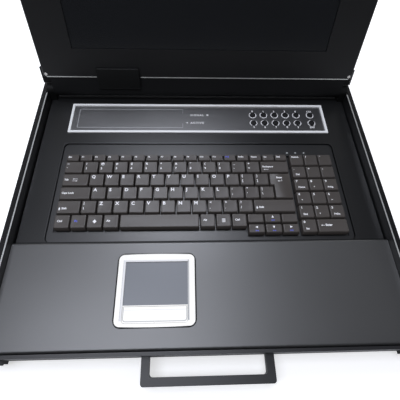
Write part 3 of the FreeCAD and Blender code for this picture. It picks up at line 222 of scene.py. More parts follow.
# near black of the lid's chin and hinge; the same finish paints shade in joints
chin_paint_and_painted_shade = finish_of("chin_paint_and_painted_shade", (0.0050, 0.0054, 0.0054), 0.55, grain=1700, bump=0.05, ior=1.3)
lid_back_coat = finish_of("lid_back_coat", (0.0075, 0.0078, 0.0085), 0.58, grain=1500, bump=0.08, ior=1.25)
screen_film = finish_of("screen_film", (0.008, 0.009, 0.011), 0.16, grain=2600, bump=0.02,
                        spread=0.03, coat=0.5)
module_tin = finish_of("module_tin", (0.50, 0.51, 0.52), 0.3, metal=0.9, grain=1100, bump=0.05)
# rubber of the lid's bumpers; the same finish paints shade on the deck under the lid
pad_rubber_and_painted_shade = finish_of("pad_rubber_and_painted_shade", (0.016, 0.016, 0.016), 0.7, grain=900, bump=0.15)
socket_plastic = finish_of("socket_plastic", (0.025, 0.028, 0.040), 0.42, grain=1500, bump=0.08)
print(len(FINISHES), "finishes")

# %% [markdown]
# ## Who wears what
# A finish belongs to what a piece is made of, so this list goes by finish and not by piece.  Key
# caps and the cover of the lid's cable are not in it: new pieces further down take their place.

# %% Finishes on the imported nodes
WEAR = {
    deck_coat: ["tray", "deck_plate"],
    panel_coat: ["rack_ear_right", "rack_ear_left", "front_panel", "front_handle", "switch_box",
                 "switch_box_lid"],
    zinc_plate: ["middle_rails", "inner_rails", "rear_bracket_right", "rear_bracket_left"],
    ball_steel: ["ball_cages", "hinge_pins"],
    screw_nickel: ["rail_screws", "board_posts", "lid_screws"],
    palm_lacquer: ["palm_rest"],
    case_plastic: ["keyboard_case", "keyboard_base", "key_plate"],
    circuit_green: ["keyboard_circuit", "touchpad_circuit", "switch_board", "switch_circuit",
                    "display_boards"],
    dome_silicone: ["rubber_dome_sheet"],
    lamp_lens: ["keyboard_lamps"],
    white_paint: ["touchpad_bezel", "touchpad_button_left", "touchpad_button_right"],
    touch_film: ["touch_surface"],
    anodised_silver: ["switch_frame"],
    switch_plastic: ["switch_face"],
    button_rubber: ["port_buttons_upper", "port_buttons_lower", "latch_right", "latch_left",
                    "screen_controls"],
    rail_coat: ["outer_rail_right", "outer_rail_left"],
    lid_paint: ["screen_bezel"],
    chin_paint_and_painted_shade: ["hinge_knuckles"],
    lid_back_coat: ["lid_cover"],
    screen_film: ["screen_glass"],
    module_tin: ["display_module"],
    pad_rubber_and_painted_shade: ["lid_bumpers"],
    socket_plastic: ["computer_sockets", "mains_inlet"],
}
for material, node_names in WEAR.items():
    for node in node_names:
        dress(node, material)
print("dressed", sum(len(names) for names in WEAR.values()), "packed nodes")

# %% [markdown]
# ## Key caps
# A key cap is a tapered box with soft edges and a shallow dish for the finger.  It is a stack of
# rounded rectangles: each ring has its own inset and height, and the last rings shrink towards
# the middle of the top and sink into the dish.  A bevelled cube would do for a plain key, but
# rings let the front wall slope more than the back one.

# %% Surfaces from rings
RING_POINTS = 16


def rounded_ring(x_low, x_high, y_low, y_high, radius, height):
    """Points round a rectangle with round corners, at one height.

    Each point is the centre of its corner plus the radius times cosine and sine of an angle.
    """
    quarter = np.linspace(0.0, math.pi / 2, RING_POINTS // 4)
    angles = np.concatenate([quarter + turn * math.pi / 2 for turn in range(4)])
    corner_x = np.repeat([x_high - radius, x_low + radius, x_low + radius, x_high - radius], len(quarter))
    corner_y = np.repeat([y_high - radius, y_high - radius, y_low + radius, y_low + radius], len(quarter))
    ring = np.empty((len(angles), 3))
    ring[:, 0] = corner_x + radius * np.cos(angles)
    ring[:, 1] = corner_y + radius * np.sin(angles)
    ring[:, 2] = height
    return ring


def closed_stack(rings):
    """Quads between neighbouring rings and one face at each end of the stack."""
    count = len(rings[0])
    points = np.concatenate(rings)
    here = np.arange(count)
    following = (here + 1) % count
    faces = []
    for level in range(len(rings) - 1):
        low = level * count
        high = low + count
        quads = np.stack([low + here, low + following, high + following, high + here], axis=1)
        faces.extend(quads.tolist())
    faces.append(here[::-1].tolist())
    faces.append(((len(rings) - 1) * count + here).tolist())
    return points, faces


DISH = 0.35 * MM        # depth of the hollow for the finger


def cap_rings(low, high):
    """Rings of one cap from its foot up its sides, over the edge and into the dish."""
    (x0, y0, z0), (x1, y1, z1) = low, high
    rings = []
    # each row: side inset, front inset, back inset, drop below the top, corner radius
    profile = [(0.0, 0.0, 0.0, z1 - z0, 0.7), (0.05, 0.1, 0.05, z1 - z0 - 2.4 * MM, 0.8),
               (0.45, 1.0, 0.40, 0.85 * MM, 1.0), (0.60, 1.45, 0.55, 0.25 * MM, 1.1),
               (0.95, 1.75, 0.85, 0.02 * MM, 1.1), (1.5, 2.2, 1.4, 0.0, 1.1),
               (3.6, 4.6, 3.6, DISH * 0.6, 1.0)]
    for side, front, back, drop, radius in profile:
        reach = min(radius * MM, (y1 - y0 - (front + back) * MM) * 0.45)
        rings.append(rounded_ring(x0 + side * MM, x1 - side * MM, y0 + front * MM, y1 - back * MM,
                                  reach, z1 - drop))
    return rings


def build(name, parts, material, body, stands_for=(), smooth=True):
    """One mesh object from a list of (points, faces); it rides on a body of the frame."""
    points = []
    faces = []
    offset = 0
    for part_points, part_faces in parts:
        points.append(part_points)
        faces.extend([[index + offset for index in face] for face in part_faces])
        offset += len(part_points)
    mesh = bpy.data.meshes.new(name)
    mesh.from_pydata(np.concatenate(points).tolist(), [], faces)
    mesh.update()
    mesh.validate()
    if smooth:
        mesh.shade_smooth()
        mesh.set_sharp_from_angle(angle=math.radians(38))
    piece = bpy.data.objects.new(name, mesh)
    bpy.context.scene.collection.objects.link(piece)
    mesh.materials.append(material)
    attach(piece, body)
    if stands_for:
        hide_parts(*stands_for)
    print(f"{name}: {len(mesh.vertices)} points, {len(mesh.polygons)} faces")
    return piece


# %% [markdown]
# ## Places of the keys
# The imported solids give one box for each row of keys.  A row is cut by the widths of its keys,
# and a block of equal keys by its columns and rows.  Typing in each place would also work, but
# then the caps would stay behind when the drawer's size changes.

# %% Where each key stands
# Widths are in key pitches; the same rows as on any compact board with a number pad.
ONE = 1.0
ROWS = {
    "keys_function": [15.25 / 17] * 17,
    "keys_number": [1.25] + [ONE] * 12 + [2],
    "keys_upper": [1.75] + [ONE] * 12,
    "keys_home": [2] + [ONE] * 12,
    "keys_lower": [1.5] + [ONE] * 11 + [2.75],
}
GAP = 0.6 * MM


def share(node, widths):
    """Cut a row's box into keys by their widths, with the same gap at each side of a key."""
    low, high = span(node)
    pitch = (high[0] - low[0] + 2 * GAP) / sum(widths)
    edges = low[0] - GAP + pitch * np.concatenate([[0.0], np.cumsum(widths)])
    keys = []
    for left, right in zip(edges[:-1], edges[1:]):
        keys.append((np.array([left + GAP, low[1], low[2]]), np.array([right - GAP, high[1], high[2]])))
    return keys


KEYS = {node: share(node, widths) for node, widths in ROWS.items()}
KEY_FOOT = -3.4 * MM
UNIT = 19.05 * MM


def grid_keys(node, columns, rows):
    """Keys of a block, row by row from the front, with the pitch found from its box."""
    low, high = span(node)
    wide = (high[0] - low[0] + 2 * GAP) / columns
    deep = (high[1] - low[1] + 2 * GAP) / rows
    keys = []
    for row in range(rows):
        for column in range(columns):
            left = low[0] + column * wide
            front = low[1] + row * deep
            keys.append([np.array([left, front, low[2]]),
                         np.array([left + wide - 2 * GAP, front + deep - 2 * GAP, high[2]])])
    return keys


bottom_low, bottom_high = span("keys_bottom")
KEYS["keys_bottom"] = []
# Seven small keys; the space bar fills the five pitches between the fourth and the fifth.
for slot_number in (0, 1, 2, 3, 9, 10, 11):
    left = bottom_low[0] - GAP + slot_number * UNIT
    KEYS["keys_bottom"].append((np.array([left + GAP, bottom_low[1], bottom_low[2]]),
                                np.array([left + UNIT - GAP, bottom_high[1], bottom_high[2]])))
KEYS["space_bar"] = [span("space_bar")]
KEYS["keys_arrow"] = grid_keys("keys_arrow", 3, 2)
pad_keys = grid_keys("keys_numpad", 3, 6)
# The pad's Enter is two columns wide: it takes the right edge of the third place, then left out.
pad_keys[1][1][0] = pad_keys[2][1][0]
KEYS["keys_numpad"] = [key for number, key in enumerate(pad_keys) if number != 2]
print({node: len(keys) for node, keys in KEYS.items()})

# %% [markdown]
# ## Caps and stems
# Under each cap a square stem reaches down into the keyboard.  Cap and stem are two closed stacks
# in one mesh for each row, which rides on the row's body, so that they press down together.

# %% Caps and stems
STEM = 2.5 * MM         # half its width


def stem_stack(low, high):
    """The square stem under a cap."""
    middle = (low + high) / 2
    rings = [rounded_ring(middle[0] - STEM, middle[0] + STEM, middle[1] - STEM, middle[1] + STEM,
                          0.4 * MM, height) for height in (low[2], KEY_FOOT + 0.3 * MM)]
    return closed_stack(rings)


def cap_stack(low, high):
    """One cap from its foot to its dish."""
    foot = np.array([low[0], low[1], KEY_FOOT])
    return closed_stack(cap_rings(foot, high))


for node, keys in KEYS.items():
    stacks = [make(low, high) for low, high in keys for make in (cap_stack, stem_stack)]
    build(node + "_caps", stacks, key_plastic, node, stands_for=[node])

# %% [markdown]
# ## The tall Enter key
# Its outline is an L.  Each ring of it is the same six-cornered outline, moved inwards side by
# side, so the taper stays even round the inner corner too.  Two plain caps pushed together would
# leave a seam on its top.

# %% Enter
enter_low, enter_high = span("enter_key")
upper_left = enter_low[0]
lower_left = enter_high[0] + 2 * GAP - 1.25 * UNIT
step_line = enter_high[1] + GAP - UNIT


def l_ring(side, front, back, height):
    """Six corners of the L, moved in by the insets; the inner corner moves with its two sides."""
    x0, x1 = upper_left + side, enter_high[0] - side
    y0, y1 = enter_low[1] + front, enter_high[1] - back
    inner_x, inner_y = lower_left + side, step_line + GAP + front
    corners = [(x0, y1), (x0, inner_y), (inner_x, inner_y), (inner_x, y0), (x1, y0), (x1, y1)]
    return np.array([(x, y, height) for x, y in corners])


# each row: side, front and back inset of a ring in millimetres, and its height
enter_profile = [(0.0, 0.0, 0.0, KEY_FOOT), (0.05, 0.1, 0.05, KEY_FOOT + 2.4 * MM),
                 (0.5, 1.0, 0.45, enter_high[2] - 0.85 * MM), (0.65, 1.45, 0.6, enter_high[2] - 0.25 * MM),
                 (1.0, 1.8, 0.9, enter_high[2])]
enter_cap = closed_stack([l_ring(side * MM, front * MM, back * MM, height)
                          for side, front, back, height in enter_profile])
stem_low = np.array([lower_left, enter_low[1], enter_low[2]])
build("enter_key_cap", [enter_cap, stem_stack(stem_low, enter_high)], key_plastic, "enter_key",
      stands_for=["enter_key"])

# %% [markdown]
# ## Legends
# The legends are printed.  Text becomes a mesh a few hundredths of a millimetre thick, laid on
# the cap and carried by the same body, so it travels with its key.  An image on each cap would
# show them as well, but letters of geometry stay sharp from close by.

# %% Lettering helpers
PRINT = 0.04 * MM


def lettering(text, size, spacing=1.0):
    """Points and faces of a word, its lower left corner at the origin."""
    curve = bpy.data.curves.new("word", "FONT")
    curve.body = text
    curve.size = size
    curve.space_character = spacing
    curve.extrude = PRINT / 2
    curve.resolution_u = 2
    curve.offset = size * 0.034
    holder = bpy.data.objects.new("word", curve)
    mesh = bpy.data.meshes.new_from_object(holder)
    points = np.empty(len(mesh.vertices) * 3)
    mesh.vertices.foreach_get("co", points)
    faces = [list(face.vertices) for face in mesh.polygons]
    bpy.data.objects.remove(holder)
    bpy.data.curves.remove(curve)
    bpy.data.meshes.remove(mesh)
    return points.reshape(-1, 3), faces


def write(text, left, front, height, size, centre=False, spacing=1.0):
    """A word laid flat at a place; centred on it when asked."""
    points, faces = lettering(text, size, spacing)
    if not len(points):
        return points, faces
    shift = -points[:, 0].max() / 2 if centre else 0.0
    return points + np.array([left + shift, front, height]), faces


def rule_line(x0, x1, y0, y1, height):
    """A printed bar: a rectangle with the thickness of the print."""
    ring = np.array([(x0, y0, height), (x1, y0, height), (x1, y1, height), (x0, y1, height)])
    return closed_stack([ring, ring + [0, 0, PRINT]])


def arrow(tip_x, middle_y, height, length, size, direction=-1):
    """A printed arrow: a head at its tip and a shaft behind it."""
    head = triangle(tip_x - direction * size, middle_y, height, size, 180 if direction < 0 else 0)
    far = tip_x - direction * length
    near = tip_x - direction * size
    shaft = rule_line(min(near, far), max(near, far), middle_y - 0.22 * MM, middle_y + 0.22 * MM, height)
    return [head, shaft]


def triangle(middle_x, middle_y, height, size, turn):
    """A small arrow head pointing along an angle: three points of a circle, one ahead, two behind."""
    angles = math.radians(turn) + np.array([0.0, 2.3, -2.3])
    ring = np.stack([middle_x + size * np.cos(angles), middle_y + size * np.sin(angles),
                     np.full(3, height)], axis=1)
    return closed_stack([ring, ring + [0, 0, PRINT]])


# %% What is printed on the keys
FUNCTION = ["Esc"] + [f"F{number}" for number in range(1, 13)] + ["PrtSc", "Pause", "Ins", "Del"]
DIGITS = [("`", "~"), ("1", "!"), ("2", "@"), ("3", "#"), ("4", "$"), ("5", "%"), ("6", "^"), ("7", "&"),
          ("8", "*"), ("9", "("), ("0", ")"), ("-", "_"), ("=", "+"), ("Backspace", "")]
UPPER = [("Tab", "")] + [("", letter) for letter in "QWERTYUIOP"] + [("[", "{"), ("]", "}")]
HOME = [("Caps Lock", "")] + [("", letter) for letter in "ASDFGHJKL"] + [(";", ":"), ("'", '"'), ("\\", "|")]
LOWER = [("Shift", ""), ("\\", "|")] + [("", letter) for letter in "ZXCVBNM"]
LOWER += [(",", "<"), (".", ">"), ("/", "?"), ("Shift", "")]
BOTTOM = ["Ctrl", "Fn", "", "Alt", "Alt", "", "Ctrl"]
PAD = [("0", "Ins"), ("", ""), ("1", "End"), ("2", ""), ("3", "PgDn"), ("4", ""), ("5", ""), ("6", ""),
       ("7", "Home"), ("8", ""), ("9", "PgUp"), (".", "Del"), ("+", ""), ("-", ""), ("NumLk", ""), ("/", ""),
       ("*", "")]


# %% Letters, digits and signs
LETTER, SIGN, LOW_SIGN, WORD = 6.0 * MM, 4.3 * MM, 4.2 * MM, 3.4 * MM      # heights of the print
SIGN_DROP, WORD_DROP = 8.8 * MM, 6.6 * MM       # from the top corner down to the second line
SHIFT_INDENT = 3.4 * MM                         # room for the arrow in front of the word


def top_left(key):
    """The corner of a cap's flat top where legends start."""
    low, high = key
    return low[0] + 2.4 * MM, high[1] - 1.9 * MM, high[2] - 0.02 * MM


def print_row(node, legends):
    """Letters stand large at the top left; a second sign or a word stands below."""
    words = []
    for key, (lower_sign, upper_sign) in zip(KEYS[node], legends):
        x, y, z = top_left(key)
        is_letter = upper_sign.isalpha() and len(upper_sign) == 1
        size = LETTER if is_letter else SIGN
        if upper_sign:
            words.append(write(upper_sign, x, y - size * 0.72, z, size))
        if lower_sign:
            word_size = WORD if len(lower_sign) > 1 else LOW_SIGN
            drop = SIGN_DROP if len(lower_sign) == 1 or node == "keys_lower" else WORD_DROP
            indent = SHIFT_INDENT if lower_sign == "Shift" else 0.0
            words.append(write(lower_sign, x + indent, y - drop - word_size * 0.3, z, word_size))
    return build(node + "_legends", words, legend_ink, node, smooth=False)


print_row("keys_number", DIGITS)
print_row("keys_upper", UPPER)
print_row("keys_home", HOME)
print_row("keys_lower", LOWER)

# %% Arrows on Backspace, Tab and Shift
x, y, z = top_left(KEYS["keys_number"][-1])
build("backspace_arrow", arrow(x + 1.0 * MM, y - 11.0 * MM, z, 6.5 * MM, 1.2 * MM), legend_ink,
      "keys_number", smooth=False)
x, y, z = top_left(KEYS["keys_upper"][0])
tab_arrows = arrow(x + 10.0 * MM, y - 5.6 * MM, z, 6.5 * MM, 1.2 * MM)
tab_arrows += arrow(x + 16.5 * MM, y - 8.4 * MM, z, 6.5 * MM, 1.2 * MM, 1)
build("tab_arrows", tab_arrows, legend_ink, "keys_upper", smooth=False)
shift_arrows = []
for key in (KEYS["keys_lower"][0], KEYS["keys_lower"][-1]):
    x, y, z = top_left(key)
    shift_arrows.append(triangle(x + 1.0 * MM, y - 8.6 * MM, z, 1.7 * MM, 90))
    shift_arrows.append(rule_line(x + 0.4 * MM, x + 1.6 * MM, y - 11.0 * MM, y - 9.4 * MM, z))
build("shift_arrows", shift_arrows, legend_ink, "keys_lower", smooth=False)

# %% The function row
function_words = []
for key, word in zip(KEYS["keys_function"], FUNCTION):
    x, y, z = top_left(key)
    function_words.append(write(word, x - 0.4 * MM, y - 3.4 * MM, z, 3.3 * MM))
blue_function = function_words.pop(FUNCTION.index("F12"))
build("keys_function_legends", function_words, legend_ink, "keys_function", smooth=False)
build("keys_function_blue_legend", [blue_function], blue_ink, "keys_function", smooth=False)

# %% The front row, with its diamond and its menu sign
bottom_words = []
for key, word in zip(KEYS["keys_bottom"], BOTTOM):
    if word and word != "Fn":
        x, y, z = top_left(key)
        bottom_words.append(write(word, x + 1.2 * MM, y - 7.4 * MM, z, 3.5 * MM))
diamond_low, diamond_high = KEYS["keys_bottom"][2]
diamond = (diamond_low + diamond_high) / 2
sign = np.array([[0, 2.6], [-2.2, 0], [0, -2.6], [2.2, 0]]) * MM
ring = np.column_stack([sign + diamond[:2], np.full(4, diamond_high[2] - 0.28 * MM)])
bottom_words.append(closed_stack([ring, ring + [0, 0, 0.3 * MM]]))
menu_low, menu_high = KEYS["keys_bottom"][5]
menu = (menu_low + menu_high) / 2
for line in range(4):
    bar = rounded_ring(menu[0] - 2 * MM, menu[0] + 2 * MM, menu[1] + (line * 1.3 - 2.2) * MM,
                       menu[1] + (line * 1.3 - 1.6) * MM, 0.1 * MM, menu_high[2] - 0.28 * MM)
    bottom_words.append(closed_stack([bar, bar + [0, 0, 0.3 * MM]]))
build("keys_bottom_legends", bottom_words, legend_ink, "keys_bottom", smooth=False)
fn_x, fn_y, fn_z = top_left(KEYS["keys_bottom"][1])
build("function_shift_legend", [write("Fn", fn_x + 2.0 * MM, fn_y - 7.4 * MM, fn_z, 3.6 * MM)], blue_ink,
      "keys_bottom", smooth=False)

# %% The number pad
pad_words = []
for key, (digit, word) in zip(KEYS["keys_numpad"], PAD):
    x, y, z = top_left(key)
    size = (4.2 if len(digit) == 1 else 3.2) * MM
    if digit:
        pad_words.append(write(digit, x, y - 3.2 * MM, z, size))
    if word:
        pad_words.append(write(word, x + 1.8 * MM, y - 11.6 * MM, z, 3.4 * MM))
for number, turn in ((3, 270), (5, 180), (7, 0), (9, 90)):
    low, high = KEYS["keys_numpad"][number]
    pad_words.append(triangle(low[0] + 6 * MM, low[1] + 6.2 * MM, high[2] - 0.05 * MM, 1.1 * MM, turn))
x, y, z = top_left(KEYS["keys_numpad"][1])
pad_words.append(write("Enter", x + 7.0 * MM, y - 7.2 * MM, z, 3.8 * MM))
pad_words += arrow(x + 1.2 * MM, y - 6.4 * MM, z, 5.0 * MM, 1.3 * MM)
build("keys_numpad_legends", pad_words, legend_ink, "keys_numpad", smooth=False)

# %% The arrow keys
arrows, marks = [], []
for number, turn in ((0, 180), (1, 270), (2, 0), (4, 90)):
    low, high = KEYS["keys_arrow"][number]
    middle = (low + high) / 2
    arrows.append(triangle(middle[0], middle[1] + 2.0 * MM, high[2] - 0.05 * MM, 1.9 * MM, turn))
    marks.append(write("o-o", middle[0], middle[1] - 3.2 * MM, high[2] - 0.03 * MM, 2.8 * MM, centre=True))
build("keys_arrow_legends", arrows, legend_ink, "keys_arrow", smooth=False)
build("keys_arrow_second_legends", marks, blue_ink, "keys_arrow", smooth=False)

# %% The word and the arrow on Enter
enter_x = upper_left + 9.0 * MM
enter_words = [write("Enter", enter_x, enter_high[1] - 7.4 * MM, enter_high[2], 3.5 * MM)]
enter_words += arrow(enter_x + 1.0 * MM, enter_high[1] - 11.4 * MM, enter_high[2], 6.0 * MM, 1.4 * MM)
enter_words.append(rule_line(enter_x + 6.4 * MM, enter_x + 7.0 * MM, enter_high[1] - 11.6 * MM,
                             enter_high[1] - 9.2 * MM, enter_high[2]))
build("enter_key_legend", enter_words, legend_ink, "enter_key", smooth=False)

# %% [markdown]
# ## Print on the switch panel
# Round rings mark the buttons, with a number at the edge of each; a thin line frames the empty
# window at the left.  All of it is ink, two hundredths of a millimetre over the face.  A ring of
# ink is a flat band between two circles; a torus would stand on the panel like a wire.

# %% Bands of ink
face_high = span("switch_face")[1]
INK = face_high[2] + 0.02 * MM


def ring_mark(middle_x, middle_y, inner, outer, start=0.0, turn=360.0, steps=40):
    """A ring or an arc of one: a band between two circles, from cosine and sine of an angle."""
    angles = np.radians(np.linspace(start, start + turn, steps))
    edge = np.stack([np.cos(angles), np.sin(angles)], axis=1)
    inner_line = np.column_stack([edge * inner, np.zeros(steps)]) + [middle_x, middle_y, INK]
    outer_line = np.column_stack([edge * outer, np.zeros(steps)]) + [middle_x, middle_y, INK]
    return ribbon(inner_line, outer_line)


def ribbon(inner_line, outer_line):
    """A thin closed band between two lines with as many points each.

    Its four edges are the two lines, and the same two lifted by the thickness of the print.
    """
    steps = len(inner_line)
    lift = np.array([0, 0, PRINT])
    points = np.concatenate([inner_line, outer_line, outer_line + lift, inner_line + lift])
    here = np.arange(steps - 1)
    faces = []
    for first, second in ((0, 1), (1, 2), (2, 3), (3, 0)):
        faces.extend(np.stack([first * steps + here, first * steps + here + 1, second * steps + here + 1,
                               second * steps + here], axis=1).tolist())
    end = steps - 1
    faces.append([0, steps, 2 * steps, 3 * steps])
    faces.append([end, 3 * steps + end, 2 * steps + end, steps + end])
    return points, faces


# %% The framed window on the panel
x0, x1, y0, y1 = -172.8 * MM, -24.6 * MM, 287.5 * MM, 322.0 * MM
THIN, STUB = 0.6 * MM, 8 * MM       # width of the line, and its stubs at the open right side
outline = [rule_line(x0, x1, y0, y0 + THIN, INK), rule_line(x0, x1, y1 - THIN, y1, INK),
           rule_line(x0, x0 + THIN, y0, y1, INK), rule_line(x1 - THIN, x1, y0, y0 + STUB, INK),
           rule_line(x1 - THIN, x1, y1 - STUB, y1, INK)]
build("window_outline", outline, grey_ink, "drawer", smooth=False)

# %% Rings and numbers of the buttons, and two words
prints = []
upper_low, upper_high = span("port_buttons_upper")
PORT_LEFT, PORT_EXTRA = upper_low[0] + 4.8 * MM, upper_high[0] - 4.8 * MM
PORT_PITCH = 16.05 * MM
RING_INNER, RING_OUTER = 4.5 * MM, 5.5 * MM
RING_GAP = 60           # degrees left open towards the number
NUMBER_AWAY = 7.6 * MM
for node, words, above in (("port_buttons_upper", ["0", "1", "2", "3", "4", "CLR"], True),
                           ("port_buttons_lower", ["5", "6", "7", "8", "9", "ENT"], False)):
    low, high = span(node)
    line = (low[1] + high[1]) / 2
    places = [PORT_LEFT + step * PORT_PITCH for step in range(5)] + [PORT_EXTRA]
    for x, word in zip(places, words):
        gap_at = 90 if above else -90
        prints.append(ring_mark(x, line, RING_INNER, RING_OUTER, gap_at + RING_GAP / 2, 360 - RING_GAP))
        size = (4.6 if len(word) == 1 else 4.0) * MM
        offset = (NUMBER_AWAY if above else -NUMBER_AWAY) - size * 0.36
        prints.append(write(word, x, line + offset, INK, size, centre=True))
WORD_LEFT, UPPER_WORD, LOWER_WORD = -14.0 * MM, 309.4 * MM, 295.0 * MM
for word, front in (("SIGNAL", UPPER_WORD), ("ACTIVE", LOWER_WORD)):
    prints.append(write(word, WORD_LEFT, front, INK, 4.7 * MM, spacing=1.3))
prints.append(rule_line(9.4 * MM, 12.2 * MM, UPPER_WORD + 0.4 * MM, UPPER_WORD + 3.2 * MM, INK))
prints.append(triangle(WORD_LEFT - 4.9 * MM, LOWER_WORD + 1.8 * MM, INK, 1.9 * MM, 180))
build("switch_panel_print", prints, legend_ink, "drawer", smooth=False)

# %% [markdown]
# ## Bare metal along the tray walls
# The upper edge of each wall is cut after painting, so it shows a thin bright line.  A second
# finish on the wall's own faces would need them picked out by hand, so the line is a low rounded
# bar that lies on the edge.

# %% Wall edges
tray_high = span("tray")[1]
EDGE_FRONT, EDGE_BACK = 2 * MM, 338 * MM        # from the front panel to just before the hinge
PROUD, ACROSS = 0.35 * MM, 1.2 * MM             # beyond the wall's outer face, and inwards over it
EDGE_HEIGHTS = (-0.6 * MM, 0.02 * MM, 0.1 * MM)     # foot, shoulder and top, from the wall's edge
wall_lines = []
for side in (-1, 1):
    outer = side * (tray_high[0] + PROUD)
    inner = side * (tray_high[0] - ACROSS)
    left, right = min(inner, outer), max(inner, outer)
    rings = [rounded_ring(left, right, EDGE_FRONT, EDGE_BACK, 0.3 * MM, tray_high[2] + height)
             for height in EDGE_HEIGHTS]
    wall_lines.append(closed_stack(rings))
build("wall_edges", wall_lines, bare_metal_and_painted_highlight, "drawer")

# %% [markdown]
# ## Painted highlight and painted shade on the deck
# A bright strip paints the highlight that the edge of the deck's cut-out catches, a thin line round
# the keyboard.  A dark strip paints the shade in the joint between deck and palm rest, and a matt
# dark strip paints the shade on the deck where the lid stands over it.
# Each of them is a strip a few hundredths of a millimetre thick, laid on the deck.  Painting them
# into the deck's finish would tie that finish to this one drawer.

# %% Strips of painted highlight and painted shade on the deck
case_low, case_high = span("keyboard_case")
deck_low, deck_high = span("deck_plate")
CASE_GAP = 0.9 * MM                             # clearance of the cut-out round the case
BACK_LINE, SIDE_LINE = 0.95 * MM, 0.5 * MM      # widths of the bright line
left, right, back = case_low[0] - CASE_GAP, case_high[0] + CASE_GAP, case_high[1] + CASE_GAP
line_front = case_low[1] + 6 * MM
# bright strips paint the highlight along the edge of the cut-out round the keyboard
cutout_highlight_strip = [rule_line(left, right, back, back + BACK_LINE, deck_high[2]),
               rule_line(left - SIDE_LINE, left, line_front, back, deck_high[2]),
               rule_line(right, right + SIDE_LINE, line_front, back, deck_high[2])]
build("deck_cutout_highlight_strip", cutout_highlight_strip, painted_edge_highlight, "drawer", smooth=False)
SHADE_REACH, SHADE_WIDE = 205 * MM, 4.6 * MM    # half its length, and its width under the lid
# a matt dark strip paints the shade on the deck's back edge, under the lid
back_strip = rule_line(-SHADE_REACH, SHADE_REACH, deck_high[1] - SHADE_WIDE, deck_high[1] - 0.1 * MM,
                       deck_high[2])
build("deck_back_shade", [back_strip], pad_rubber_and_painted_shade, "drawer", smooth=False)
# a dark strip paints the shade in the joint between deck and palm rest
SEAM_WIDE = 1.9 * MM
seam = rule_line(deck_low[0] + 0.2 * MM, deck_high[0] - 0.2 * MM, deck_low[1] + 0.05 * MM,
                 deck_low[1] + SEAM_WIDE, deck_high[2])
build("deck_front_shade", [seam], chin_paint_and_painted_shade, "drawer", smooth=False)

# %% [markdown]
# ## The touchpad
# A dark strip paints the shade in the joint round its frame.  Inside, the frame falls in a gentle
# slope to the pad, grey strips paint the shade at the sides of that slope, and a grey line paints
# the shade round the lower corners of the two buttons.  The frame bulges a little at its front and
# back, by a parabola across its width, so the joint is worked out from the frame's own box.

# %% The touchpad's slope, and painted shade in its joint and at its sides
film_low, film_high = span("touch_surface")
bezel_low, bezel_high = span("touchpad_bezel")
bar_low, bar_high = span("touchpad_button_left")[0], span("touchpad_button_right")[1]


def crowned(grow, radius, height, crown=1.0 * MM):
    """The bezel's outline, grown by a margin: straight sides, bulging front and back.

    The bulge is the crown times one minus the square of the way across.
    """
    ring = rounded_ring(bezel_low[0] - grow, bezel_high[0] + grow, bezel_low[1] + crown - grow,
                        bezel_high[1] - crown + grow, radius, height)
    middle = (bezel_low + bezel_high) / 2
    across = (ring[:, 0] - middle[0]) / (bezel_high[0] - middle[0] + grow)
    ring[:, 1] += np.sign(ring[:, 1] - middle[1]) * crown * np.clip(1 - across ** 2, 0, 1)
    return ring


def strip_between(inner, outer, lift):
    """A flat closed strip between two outlines with as many points each."""
    count = len(inner)
    up = np.array([0, 0, lift])
    points = np.concatenate([inner, outer, outer + up, inner + up])
    here = np.arange(count)
    following = (here + 1) % count
    faces = []
    for first, second in ((0, 1), (1, 2), (2, 3), (3, 0)):
        faces.extend(np.stack([first * count + here, second * count + here, second * count + following,
                               first * count + following], axis=1)[:, ::-1].tolist())
    return points, faces


palm_top_level = span("palm_rest")[1][2]
# a dark strip on the palm rest paints the shade in the joint round the frame
gap_shade = strip_between(crowned(0.05 * MM, 6.1 * MM, palm_top_level - 0.02 * MM),
                          crowned(1.6 * MM, 7.6 * MM, palm_top_level - 0.02 * MM), 0.06 * MM)
build("touchpad_gap_shade", [gap_shade], chin_paint_and_painted_shade, "drawer", smooth=False)
level = bezel_high[2] - 0.02 * MM
SLOPE, SEAT = 1.8 * MM, 0.05 * MM           # width of the slope, and its clearance to the pad
slope_front, slope_back = bar_low[1] + 2.2 * MM, film_high[1] + SLOPE
slopes = [rule_line(film_low[0] - 2.1 * MM, film_low[0] - SEAT, slope_front, slope_back, level),
          rule_line(film_low[0] - SEAT, film_high[0] + SEAT, film_high[1] + SEAT, slope_back, level)]
build("touchpad_window_slope", slopes, silver_paint, "drawer", smooth=False)
shades = [rule_line(film_high[0] + SEAT, film_high[0] + 1.5 * MM, slope_front, slope_back, level),
          rule_line(film_low[0] - 2.5 * MM, film_low[0] - 2.1 * MM, slope_front, slope_back, level)]
build("touchpad_window_shade", shades, bevel_shade, "drawer", smooth=False)

# %% Lines on the two buttons, and their painted shade
bar_level = bar_high[2] - 0.02 * MM


def corner_line(left, right, foot, top, at_left):
    """A grey line of painted shade down the outer side of a button, round its corner and along its foot."""
    turn, wide = 3.4 * MM, 0.8 * MM
    angles = np.radians(np.linspace(180, 270, 9) if at_left else np.linspace(270, 360, 9))
    arc = np.stack([np.cos(angles), np.sin(angles)], axis=1)
    centre = np.array([left + turn if at_left else right - turn, foot + turn])
    lines = []
    for inset in (wide, 0.0):
        bend = centre + arc * (turn - inset)
        upright = [(left + inset if at_left else right - inset, top)]
        flat = [(right if at_left else left, foot + inset)]
        way = np.concatenate([upright, bend, flat] if at_left else [flat, bend, upright])
        lines.append(np.column_stack([way, np.full(len(way), bar_level)]))
    return ribbon(*lines)


